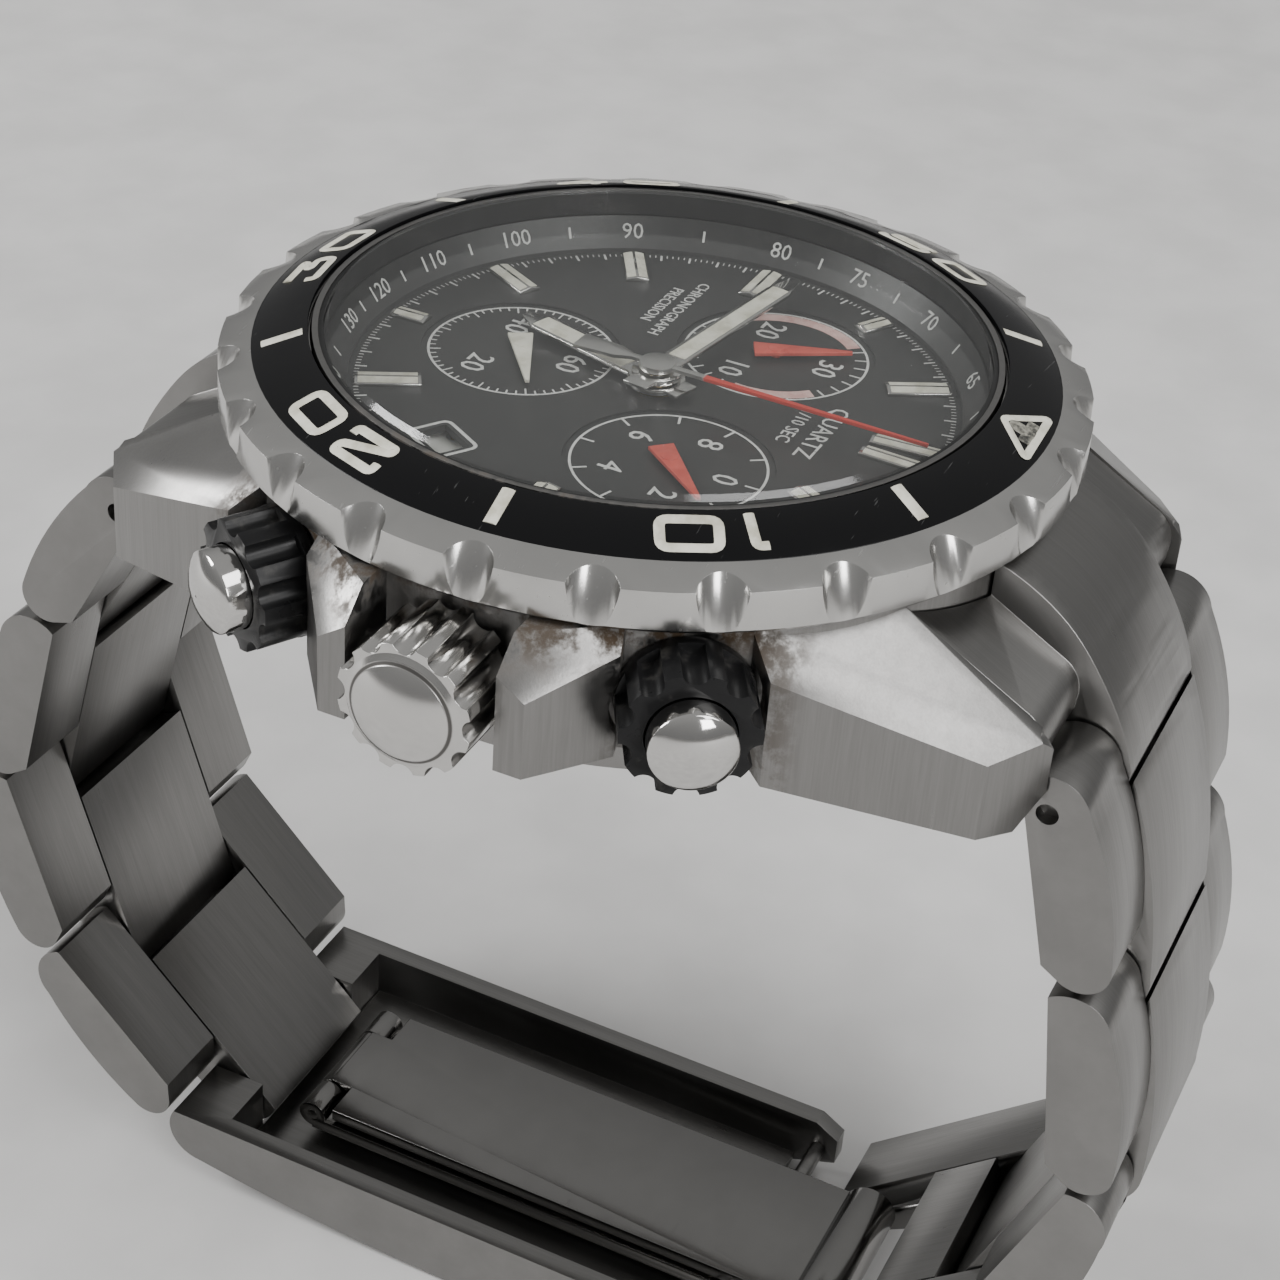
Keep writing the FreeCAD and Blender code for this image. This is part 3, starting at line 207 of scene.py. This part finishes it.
# ---- Brushed and polished steel ----
# The case, end links, links and clasp cover are solid stainless steel with brushed lines; the
# case back and the clasp's two blades are polished. Dirt has gathered around the pushers, and the
# band of case just under the bezel on the crown side is darkened with painted shade. The links
# hang on pins.


def only(thing):
    bpy.ops.object.select_all(action="DESELECT")
    thing.select_set(True)
    bpy.context.view_layer.objects.active = thing


def eased(node, body, name, finish, ease, limit=28.0):
    """A copy of a CAD node with its loose triangles merged and its edges rounded."""
    only(frame["nodes"][node])
    bpy.ops.object.duplicate()
    piece = bpy.context.object
    bpy.ops.object.parent_clear(type="CLEAR_KEEP_TRANSFORM")
    piece.name = name
    piece.data.name = name
    only(piece)
    bpy.ops.object.mode_set(mode="EDIT")
    bpy.ops.mesh.select_all(action="SELECT")
    bpy.ops.mesh.remove_doubles(threshold=0.002 * MM)
    bpy.ops.mesh.dissolve_limited(angle_limit=math.radians(0.8))
    bpy.ops.object.mode_set(mode="OBJECT")
    bpy.ops.object.shade_smooth()
    bpy.ops.object.modifier_add(type="BEVEL")
    bevel = piece.modifiers[-1]
    bevel.width = ease * MM
    bevel.segments = 2
    bevel.limit_method = "ANGLE"
    bevel.angle_limit = math.radians(limit)
    bevel.miter_outer = "MITER_ARC"
    bpy.ops.object.modifier_apply(modifier=bevel.name)
    bpy.ops.object.shade_smooth_by_angle(angle=math.radians(35))
    piece.data.materials.clear()
    piece.data.materials.append(finish)
    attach(piece, body)
    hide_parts(node)


STEEL = (0.26, 0.255, 0.248, 1.0)


def dulled(tint, share):
    """The colour with that share of its light."""
    return tuple(c * share for c in tint[:3]) + (1.0,)


def brushed(name, grain):
    """Steel with fine lines: grain gives their fineness along X, Y and Z."""
    made, shader, place = material(name, metallic=1.0)
    fine = place.mapped(scale=grain).noise(1.0, 4.0, 0.65)
    broad = place.mapped(scale=tuple(g * 0.22 for g in grain), move=(3, 1, 2)).noise(1.0, 3.0)
    cloud = place.noise(160.0, 3.0)
    lines = fine * 0.65 + broad * 0.35
    feed(shader, Base_Color=lines.between(0.3, 0.7).blend(STEEL, dulled(STEEL, 0.86)))
    feed(shader, Roughness=lines * 0.16 + cloud * 0.10 + 0.18)
    feed(shader, Normal=place.node("Bump", Height=lines, Strength=0.35, Distance=0.02 * MM))
    return made


def polished(name, tint, rough):
    """Polished steel with hairline scratches and soft smudges."""
    made, shader, place = material(name, metallic=1.0)
    smudge = place.noise(420.0, 4.0, 0.6)
    hairs = place.mapped(scale=(260, 5200, 2600), turn=(0.3, 0.2, 0.9)).noise(1.0, 2.0, 0.7)
    marks = hairs.between(0.66, 0.74)
    feed(shader, Base_Color=smudge.between(0.2, 0.8).blend(tint, dulled(tint, 0.93)))
    feed(shader, Roughness=smudge * 0.12 + marks * 0.10 + (rough - 0.06))
    feed(shader, Normal=place.node("Bump", Height=smudge * 0.3 + marks * 0.12, Strength=0.12,
                                   Distance=0.02 * MM))
    return made


ACROSS, ALONG = 9000.0, 260.0
case_steel = brushed("brushed_case", (ACROSS, ACROSS, ALONG))
tree = case_steel.node_tree
shader = tree.nodes["Principled BSDF"]
place = Socket(tree, tree.nodes["Texture Coordinate"].outputs["Object"])
east = place.node("SeparateXYZ", out=0, Vector=place)
north = place.node("SeparateXYZ", out=1, Vector=place)
height = place.node("SeparateXYZ", out=2, Vector=place)
patchy_breakup = place.noise(520.0, 6.0, 0.7)
# Painted shade: on the crown side, the band of case just under the bezel is darkened where the
# bezel's shade falls.
painted_shade_under_bezel = height.between(8.2 * MM, 10.0 * MM) * east.between(13 * MM, 18 * MM)
# Real dirt in the pockets beside the two pushers.
pockets = north.node("Math", {"operation": "ABSOLUTE"}, _0=north)
pockets = pockets.between(6.0 * MM, 8.5 * MM) * (1 - pockets.between(14.2 * MM, 15.6 * MM))
pockets = pockets * east.between(14 * MM, 17 * MM) * (1 - east.between(19.8 * MM, 21.2 * MM))
dirt_and_painted_shade = (painted_shade_under_bezel * 0.9 + pockets * 0.55) * patchy_breakup.between(0.42, 0.60)
clean = Socket(tree, shader.inputs["Base Color"].links[0].from_socket)
smooth = Socket(tree, shader.inputs["Roughness"].links[0].from_socket)
# The dark brown is real dirt beside the pushers and painted shade under the bezel.
feed(shader, Base_Color=dirt_and_painted_shade.blend(clean, (0.055, 0.036, 0.020, 1)))
feed(shader, Roughness=smooth + dirt_and_painted_shade * 0.5)
feed(shader, Metallic=1 - dirt_and_painted_shade)
eased("case_middle", "case", "case", case_steel, 0.12)
bright_steel = polished("polished_steel", (0.60, 0.59, 0.575, 1.0), 0.09)
eased("case_back", "case", "case_back_plate", polished("case_back_steel", STEEL, 0.22), 0.10)
for side in ("12", "6"):
    eased("end_link_" + side, "case", "end_link_at_" + side,
          brushed("brushed_end_link_" + side, (ACROSS, ALONG, ALONG)), 0.12)
for joint in frame["joints"]:
    child = joint["child"]
    if child.startswith("link_"):
        eased(child, child, "bracelet_" + child,
              brushed("brushed_" + child, (ACROSS, ALONG, ALONG)), 0.14)
eased("clasp_cover", "clasp_cover", "clasp_cover_piece",
      brushed("brushed_clasp", (ACROSS, ALONG, ALONG)), 0.15)
for blade in ("clasp_blade_upper", "clasp_blade_lower"):
    eased(blade, blade, blade + "_piece", polished(blade + "_steel", STEEL, 0.16), 0.08)

# ---- Bezel ----
# One turned steel ring with 24 scooped grips, holding a glossy black insert with a few fine
# scratches. The ring turns on the case.

eased("bezel_ring", "bezel", "bezel", polished("bezel_steel", (0.57, 0.563, 0.548, 1.0), 0.20),
      0.07, 24)
insert_black, shader, place = material("insert_black", Specular_IOR_Level=0.16)
scuff = place.noise(500.0, 5.0, 0.65)
hair = place.mapped(scale=(300, 4200, 2000), turn=(0, 0, 0.7)).noise(1.0, 2.0, 0.6)
scratch = hair.between(0.70, 0.76)
feed(shader, Base_Color=scratch.blend((0.0055, 0.0055, 0.006, 1), (0.05, 0.05, 0.05, 1)))
feed(shader, Roughness=scuff * 0.16 + scratch * 0.2 + 0.10)
feed(shader, Normal=place.node("Bump", Height=scuff * 0.4 + scratch * 0.3, Strength=0.10,
                               Distance=0.02 * MM))
eased("bezel_insert", "bezel", "bezel_insert_ring", insert_black, 0.05)

# ---- Crown and pushers ----
# A fluted steel crown with a fine ring turned in its face, the groove darkened with painted shade,
# on the end of the winding stem, and two domed steel buttons inside black fluted collars that
# screw down on the pusher tubes.

crown_steel, shader, place = material("crown_steel", 1.0)
away = place.node("VectorMath", {"operation": "SUBTRACT"}, _0=place, _1=(0, 0, 6.5 * MM))
away = away.node("VectorMath", {"operation": "MULTIPLY"}, _0=away, _1=(0, 1000, 1000))
out = away.node("VectorMath", {"operation": "LENGTH"}, out=1, _0=away)
groove_with_painted_shade = out.between(2.36, 2.44) * (1 - out.between(2.52, 2.60))
smudge = place.noise(420.0, 4.0, 0.6)
# Painted shade: the groove's colour is near black to stand in for the shade inside it; its
# roughness and bump are the real groove.
feed(shader, Base_Color=groove_with_painted_shade.blend((0.58, 0.57, 0.555, 1), (0.12, 0.115, 0.11, 1)))
feed(shader, Roughness=smudge * 0.14 + groove_with_painted_shade * 0.3 + 0.10)
feed(shader, Normal=place.node("Bump", Height=smudge * 0.15 - groove_with_painted_shade, Strength=0.35,
                               Distance=0.06 * MM))
eased("crown", "crown", "crown_knob", crown_steel, 0.10)
collar_black, shader, place = material("collar_black", Specular_IOR_Level=0.22)
wear = place.noise(700.0, 5.0, 0.65)
feed(shader, Base_Color=wear.between(0.55, 0.75).blend((0.010, 0.010, 0.0105, 1),
                                                       (0.045, 0.043, 0.040, 1)))
feed(shader, Roughness=wear * 0.3 + 0.16)
feed(shader, Normal=place.node("Bump", Height=wear, Strength=0.2, Distance=0.03 * MM))
for push in ("start", "reset"):
    eased(push + "_pusher", push + "_button", push + "_button_cap", bright_steel, 0.08)
    eased(push + "_pusher_collar", push + "_collar", push + "_collar_sleeve", collar_black, 0.12)

# ---- Crystal ----
# A flat sapphire disc with a bevelled rim: each face mirrors a little of the bright room,
# more of it toward a low angle, so the dial below looks veiled.

crystal_finish = bpy.data.materials.new("sapphire")
crystal_finish.use_nodes = True
tree = crystal_finish.node_tree
tree.nodes.clear()
facing = Socket(tree, tree.nodes.new("ShaderNodeLayerWeight").outputs["Facing"])
facing.socket.node.inputs["Blend"].default_value = 0.5
mirror = facing ** 5.0 * 0.9 + 0.075
clear = facing.node("BsdfTransparent", Color=(0.98, 0.985, 0.98, 1))
gloss = facing.node("BsdfGlossy", Roughness=0.10)
tree.links.new(facing.node("MixShader", _0=mirror, _1=clear, _2=gloss).socket,
               tree.nodes.new("ShaderNodeOutputMaterial").inputs["Surface"])
frame["nodes"]["crystal"].data.materials[0] = crystal_finish

# ---- Dial and flange ----
# A dark dial with a fine grain and three sunk counters, held on the movement, inside a dark
# sloping flange.

dial_finish, shader, place = material("dial_anthracite", Roughness=0.42)
grain = place.noise(2600.0, 3.0)
cloud = place.noise(140.0, 2.0)
feed(shader, Base_Color=(grain * 0.5 + cloud * 0.5).between(0.35, 0.65).blend(
    (0.017, 0.017, 0.0175, 1), (0.030, 0.0295, 0.029, 1)))
feed(shader, Roughness=grain * 0.15 + 0.36)
feed(shader, Normal=place.node("Bump", Height=grain, Strength=0.12, Distance=0.02 * MM))
for node in ("dial", "dial_flange"):
    frame["nodes"][node].data.materials[0] = dial_finish

# ---- Insert markings ----
# Cream numerals at each ten, bars at each odd five and an outlined triangle at zero: luminous
# paint a little proud of the insert, dulled by patches of dirt and worn away in the triangle.

lume, shader, place = material("lume_cream", Roughness=0.5)
dirt = place.noise(900.0, 4.0, 0.6)
feed(shader, Base_Color=dirt.between(0.35, 0.75).blend((0.80, 0.78, 0.68, 1),
                                                       (0.52, 0.50, 0.40, 1)))
feed(shader, Roughness=dirt * 0.25 + 0.40)
feed(shader, Normal=place.node("Bump", Height=dirt, Strength=0.25, Distance=0.03 * MM))


def softened(points, radius, closed):
    """The path with each corner swept into a short curve."""
    made = []
    count = len(points)
    for i, corner in enumerate(points):
        if not closed and i in (0, count - 1):
            made.append(corner)
            continue
        corner = Vector(corner)
        before = Vector(points[i - 1]) - corner
        after = Vector(points[(i + 1) % count]) - corner
        reach = min(radius, before.length * 0.45, after.length * 0.45)
        a = corner + before.normalized() * reach
        b = corner + after.normalized() * reach
        for t in (0.0, 0.25, 0.5, 0.75, 1.0):
            made.append(tuple(a * (1 - t) ** 2 + corner * (2 * t * (1 - t)) + b * t ** 2))
    return made


def strokes(paths, thick):
    """Flat strokes in millimetres on the XY plane: each path has points, width and closed."""
    bpy.ops.object.select_all(action="DESELECT")
    bpy.ops.object.add(type="CURVE", location=(0, 0, 0))
    made = bpy.context.object
    curve = made.data
    curve.dimensions = "3D"
    curve.bevel_depth = 0.5
    curve.bevel_resolution = 1
    curve.use_fill_caps = True
    for points, width, closed in paths:
        line = curve.splines.new("POLY")
        line.points.add(len(points) - 1)
        for point, (x, y) in zip(line.points, points):
            point.co = (x, y, 0, 1)
            point.radius = width
        line.use_cyclic_u = closed
    bpy.ops.object.convert(target="MESH")
    made = bpy.context.object
    made.data.transform(Matrix.Diagonal((1, 1, thick / paths[0][1], 1)))
    return made


def lettering(words, height):
    """Upright printed letters in millimetres, centred on the XY plane."""
    bpy.ops.object.select_all(action="DESELECT")
    bpy.ops.object.text_add(location=(0, 0, 0))
    made = bpy.context.object
    made.data.body = words
    made.data.align_x = "CENTER"
    made.data.align_y = "CENTER"
    made.data.size = height / 0.70
    made.data.extrude = 0.01
    made.data.resolution_u = 2
    bpy.ops.object.convert(target="MESH")
    return bpy.context.object


def laid(name, parts, finish, body):
    """Each part moved by its own matrix, all joined as one piece that rides on a body."""
    bpy.ops.object.select_all(action="DESELECT")
    for part, matrix in parts:
        part.data.transform(Matrix.Diagonal((MM, MM, MM, 1)) @ matrix)
        part.select_set(True)
    piece = parts[0][0]
    bpy.context.view_layer.objects.active = piece
    bpy.ops.object.join()
    piece.name = name
    piece.data.name = name
    piece.data.materials.clear()
    piece.data.materials.append(finish)
    only(piece)
    bpy.ops.object.mode_set(mode="EDIT")
    bpy.ops.mesh.select_all(action="SELECT")
    bpy.ops.mesh.normals_make_consistent(inside=False)
    bpy.ops.object.mode_set(mode="OBJECT")
    bpy.ops.object.shade_smooth_by_angle(angle=math.radians(40))
    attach(piece, body)


EDGE_RADIUS = 21.5
EDGE_HEIGHT = 12.55
SLOPE = 0.355


def on_bezel(bearing, radius=18.4):
    """Flat work set on the bezel's cone at a bearing, its top outward."""
    turn = math.radians(bearing)
    outward = Vector((math.sin(turn), math.cos(turn), -SLOPE)).normalized()
    along = Vector((math.cos(turn), -math.sin(turn), 0))
    normal = along.cross(outward)
    spot = Vector((radius * math.sin(turn), radius * math.cos(turn),
                   EDGE_HEIGHT + (EDGE_RADIUS - radius) * SLOPE))
    return Matrix.Translation(spot) @ Matrix((along, outward, normal)).transposed().to_4x4()


BEZEL_TURN = -2.7
STROKE = 0.50
PAINT = 0.14
DIGITS = {
    "0": [([(-1.31, -0.8), (-1.31, 0.8), (1.31, 0.8), (1.31, -0.8)], True)],
    "1": [([(-0.38, 0.78), (0.18, 0.78), (0.18, -1.05)], False)],
    "2": [([(-1.25, 0.28), (-1.31, 0.8), (1.31, 0.8), (1.31, 0.3), (-1.25, -0.55),
            (-1.25, -0.8), (1.31, -0.8), (1.31, -0.4)], False)],
    "3": [([(-1.25, 0.8), (1.25, 0.8), (0.05, 0.12), (1.31, 0.12), (1.31, -0.8),
            (-1.31, -0.8), (-1.31, -0.3)], False)],
    "4": [([(0.7, -1.05), (0.7, 0.8), (-1.31, -0.3), (1.45, -0.3)], False)],
    "5": [([(1.25, 0.8), (-1.2, 0.8), (-1.2, 0.15), (1.31, 0.15), (1.31, -0.8),
            (-1.31, -0.8), (-1.31, -0.35)], False)],
}
parts = []
for tens in range(1, 6):
    first, second = (-5.9, 3.5) if tens == 1 else (-6.2, 6.2)
    for digit, shift in ((str(tens), first), ("0", second)):
        paths = [(softened(line, 0.42, closed), STROKE, closed)
                 for line, closed in DIGITS[digit]]
        parts.append((strokes(paths, PAINT), on_bezel(tens * 60 + BEZEL_TURN + shift)))
for minute in range(5, 60, 10):
    bar = strokes([([(0, -1.05), (0, 1.05)], 0.64, False)], PAINT)
    parts.append((bar, on_bezel(minute * 6 + BEZEL_TURN, 18.38)))
outline = softened([(0, -0.92), (2.15, 0.98), (-2.15, 0.98)], 0.3, True)
parts.append((strokes([(outline, 0.42, True)], PAINT), on_bezel(BEZEL_TURN)))
laid("insert_markings", parts, lume, "bezel")
worn, shader, place = material("worn_lume", Roughness=0.6)
blot = place.noise(1500.0, 5.0, 0.7)
feed(shader, Base_Color=blot.between(0.4, 0.62).blend((0.03, 0.03, 0.028, 1),
                                                      (0.34, 0.33, 0.28, 1)))
feed(shader, Normal=place.node("Bump", Height=blot, Strength=0.4, Distance=0.03 * MM))
fill = [([(0, -0.55), (0, 0.9)], 0.9, False), ([(-1.0, 0.55), (1.0, 0.55)], 0.7, False)]
laid("triangle_fill", [(strokes(fill, PAINT / 2), on_bezel(BEZEL_TURN))], worn, "bezel")

# ---- Dial printing ----
# Fine pale print: minute track, counter rings with their ticks and upright numerals, two pairs
# of small words, the date window's outline, and a speed scale around the flange. The 10 o'clock
# counter has two pink bands.

DIAL_TOP = 10.95
print_pale, shader, place = material("print_pale", Roughness=0.6)
fleck = place.noise(3000.0, 2.0)
feed(shader, Base_Color=fleck.between(0.3, 0.7).blend((0.72, 0.72, 0.70, 1),
                                                      (0.60, 0.60, 0.58, 1)))


def spoke(bearing, inner, outer, width):
    turn = math.radians(bearing)
    return ([(r * math.sin(turn), r * math.cos(turn)) for r in (inner, outer)], width, False)


def ring(radius, width, start=0.0, end=360.0):
    closed = end - start >= 360
    steps = max(8, round((end - start) / 5))
    turns = [math.radians(start + (end - start) * i / steps)
             for i in range(steps + (0 if closed else 1))]
    return ([(radius * math.sin(t), radius * math.cos(t)) for t in turns], width, closed)


def flat(x, y, z, turn=0.0):
    return Matrix.Translation((x, y, z)) @ Matrix.Rotation(math.radians(-turn), 4, "Z")


level = DIAL_TOP + 0.012
track = [spoke(s * 6, 14.35, 14.95, 0.12) for s in range(60) if s % 5 or s in (10, 20, 30, 50)]
fine = [spoke(s * 1.2, 14.7, 14.95, 0.06) for s in range(300) if s % 5]
parts = [(strokes(track, 0.02), flat(0, 0, level)), (strokes(fine, 0.02), flat(0, 0, level))]
COUNTER_OFFSET = 7.5
COUNTERS = {60: ("0", "2", "4", "6", "8"), 180: ("60", "20", "40"), 300: ("30", "10", "20")}
for bearing, numerals in COUNTERS.items():
    turn = math.radians(bearing)
    x, y = COUNTER_OFFSET * math.sin(turn), COUNTER_OFFSET * math.cos(turn)
    low = level - 0.1
    marks = [ring(4.72, 0.13)]
    if bearing == 60:
        marks += [spoke(n * 36, 3.95, 4.68, 0.13) for n in range(10)]
    elif bearing == 180:
        marks += [spoke(n * 6, 4.1 if n % 5 == 0 else 4.35, 4.68, 0.09) for n in range(60)]
    else:
        marks += [spoke(n * 12, 4.05, 4.68, 0.11) for n in range(30)]
    parts.append((strokes(marks, 0.02), flat(x, y, low)))
    for n, words in enumerate(numerals):
        turn = 2 * math.pi * n / len(numerals)
        reach = 2.75 if len(words) > 1 else 2.85
        parts.append((lettering(words, 1.30), flat(x + reach * math.sin(turn),
                                                   y + reach * math.cos(turn), low)))
for words, height, x, y in (("CHRONOGRAPH", 0.62, -8.4, -2.6), ("PRECISION", 0.62, -8.4, -3.6),
                            ("QUARTZ", 0.95, 0.0, 8.9), ("1/10 SEC", 0.7, 0.0, 7.5)):
    parts.append((lettering(words, height), flat(x, y, level)))
window = softened([(-1.15, -1.45), (-1.15, 1.45), (1.15, 1.45), (1.15, -1.45)], 0.4, True)
turn = math.radians(122)
parts.append((strokes([(window, 0.2, True)], 0.06),
              flat(12.1 * math.sin(turn), 12.1 * math.cos(turn), level, 32)))


FLANGE_INNER = 15.25
FLANGE_FOOT = 11.2


def on_flange(bearing, radius=15.78):
    """Flat work set on the flange's slope, its top outward."""
    turn = math.radians(bearing)
    rise = 1.45 / 1.05
    outward = Vector((math.sin(turn), math.cos(turn), rise)).normalized()
    along = Vector((math.cos(turn), -math.sin(turn), 0))
    normal = along.cross(outward)
    spot = Vector((radius * math.sin(turn), radius * math.cos(turn),
                   FLANGE_FOOT + (radius - FLANGE_INNER) * rise)) + normal * 0.02
    return Matrix.Translation(spot) @ Matrix((along, outward, normal)).transposed().to_4x4()


for speed in (60, 65, 70, 75, 80, 90, 100, 110, 120, 130, 150, 200, 300, 400):
    parts.append((lettering(str(speed), 0.85), on_flange(360 * 60 / speed)))
for between in (62.5, 67.5, 72.5, 77.5, 85, 95, 105, 115, 125, 140, 175, 250, 350):
    parts.append((strokes([([(0, -0.3), (0, 0.3)], 0.13, False)], 0.02),
                  on_flange(360 * 60 / between)))
laid("dial_printing", parts, print_pale, "case")

print_pink, shader, place = material("print_pink", Roughness=0.6)
fleck = place.noise(1800.0, 3.0)
feed(shader, Base_Color=fleck.between(0.3, 0.7).blend((0.62, 0.36, 0.33, 1),
                                                      (0.72, 0.50, 0.46, 1)))
turn = math.radians(300)
spot = flat(COUNTER_OFFSET * math.sin(turn), COUNTER_OFFSET * math.cos(turn), level - 0.094)
laid("counter_bands", [(strokes([ring(4.25, 0.72, 42, 98)], 0.016), spot),
                       (strokes([ring(4.25, 0.72, 222, 318)], 0.016), spot)],
     print_pink, "case")

# ---- Hour markers ----
# Bright metal bars with a roof-shaped top, each slope inlaid with pale luminous paint.

eased("hour_markers", "case", "hour_bars", polished("marker_steel", (0.70, 0.69, 0.67, 1.0), 0.14),
      0.03)
parts = []
BARS = [(-3.3, 11.3, 0.95), (3.3, 11.3, 0.95)]
BARS += [(h * 30, 12.95, 1.0) for h in (2, 6, 10)]
BARS += [(h * 30, 11.6, 1.25) for h in (1, 3, 5, 7, 8, 9, 11)]
for bearing, start, width in BARS:
    for side in (-1, 1):
        plate = strokes([([(0, start + 0.18), (0, 14.72)], width / 2 - 0.14, False)], 0.03)
        tilt = Matrix.Rotation(side * math.atan2(0.12, width / 2), 4, "Y")
        move = Matrix.Translation((side * width / 4, 0, 0.255))
        parts.append((plate, flat(0, 0, DIAL_TOP, bearing) @ move @ tilt))
laid("hour_bar_lume", parts, lume, "case")

# ---- Hands ----
# Broad bright hands inlaid with pale luminous paint, a thin sweep hand that is bright at its hub
# and red beyond it, and three small wedges, two red and one cream. Each is pressed on its arbor.

hand_steel = polished("hand_steel", (0.72, 0.71, 0.69, 1.0), 0.12)


def inlay(name, body, bearing, start, end, width, top, finish=None):
    """Paint along a hand, a little proud of its face."""
    line = strokes([([(0, start), (0, end)], width, False)], 0.05)
    laid(name, [(line, flat(0, 0, top, bearing))], finish or lume, body)


eased("hour_hand", "hour", "hour_hand_blade", hand_steel, 0.03)
inlay("hour_hand_lume", "hour", 197, 1.9, 8.0, 1.15, 11.485)
eased("minute_hand", "minute", "minute_hand_blade", hand_steel, 0.03)
inlay("minute_hand_lume", "minute", 278.4, 1.8, 11.8, 0.95, 11.905)
sweep, shader, place = material("sweep_two_tone", Roughness=0.30)
rest = math.radians(2.3)
outward = place.node("VectorMath", {"operation": "DOT_PRODUCT"}, out=1, _0=place,
                     _1=(1000 * math.sin(rest), 1000 * math.cos(rest), 0))
beyond = outward.between(2.5, 2.7)
feed(shader, Base_Color=beyond.blend((0.70, 0.69, 0.67, 1), (0.60, 0.045, 0.03, 1)))
feed(shader, Metallic=1 - beyond)
eased("chrono_seconds_hand", "chrono_seconds", "sweep_hand", sweep, 0.02)
wedge_red, shader, place = material("wedge_red", Roughness=0.4)
fleck = place.noise(1500.0, 2.0)
feed(shader, Base_Color=fleck.between(0.3, 0.7).blend((0.66, 0.10, 0.07, 1),
                                                      (0.56, 0.07, 0.05, 1)))
for counter, finish in (("tenth_counter", wedge_red), ("minute_counter", wedge_red),
                        ("running_seconds", lume)):
    eased(counter + "_hand", counter, counter + "_wedge", finish, 0.02)

# ---- Movement, seals and pins ----
# Out of sight when the watch is closed: brass wheels, plated plates, a green circuit board,
# copper coils, white moulded spacers, rubber seals and steel springs and pins.

inside = [
    ("brass", (0.62, 0.44, 0.17, 1), 1.0, 0.32, ("cannon_pinion", "chrono_wheel", "hour_wheel",
                                                "minute_wheel", "main_plate", "train_bridge")),
    ("white_moulding", (0.66, 0.66, 0.62, 1), 0.0, 0.5, ("movement_ring", "date_ring")),
    ("board_green", (0.02, 0.13, 0.05, 1), 0.0, 0.4, ("circuit_board",)),
    ("copper_wire", (0.66, 0.26, 0.13, 1), 1.0, 0.35, ("motor_coils",)),
    ("rubber", (0.015, 0.015, 0.015, 1), 0.0, 0.7, ("case_back_gasket", "crystal_gasket",
                                                  "crown_gasket")),
    ("turned_steel", (0.56, 0.55, 0.53, 1), 1.0, 0.28, (
        "battery_cell", "battery_strap", "bezel_click_spring", "bezel_retaining_ring",
        "clutch_wheel", "crown_tube", "motor_stators", "movement_screws", "pusher_tubes",
        "reset_pusher_clip", "start_pusher_clip", "reset_pusher_spring", "start_pusher_spring",
        "spring_bars", "winding_stem")),
]
for name, tint, metallic, rough, nodes in inside:
    finish, shader, place = material(name, metallic)
    patch = place.noise(700.0, 3.0)
    line = place.mapped(scale=(3000, 300, 3000)).noise(1.0, 3.0)
    feed(shader, Base_Color=(patch * 0.6 + line * 0.4).between(0.3, 0.7).blend(
        tint, dulled(tint, 0.78)))
    feed(shader, Roughness=patch * 0.2 + (rough - 0.1))
    feed(shader, Normal=place.node("Bump", Height=line, Strength=0.15, Distance=0.02 * MM))
    for node in nodes:
        frame["nodes"][node].data.materials[0] = finish
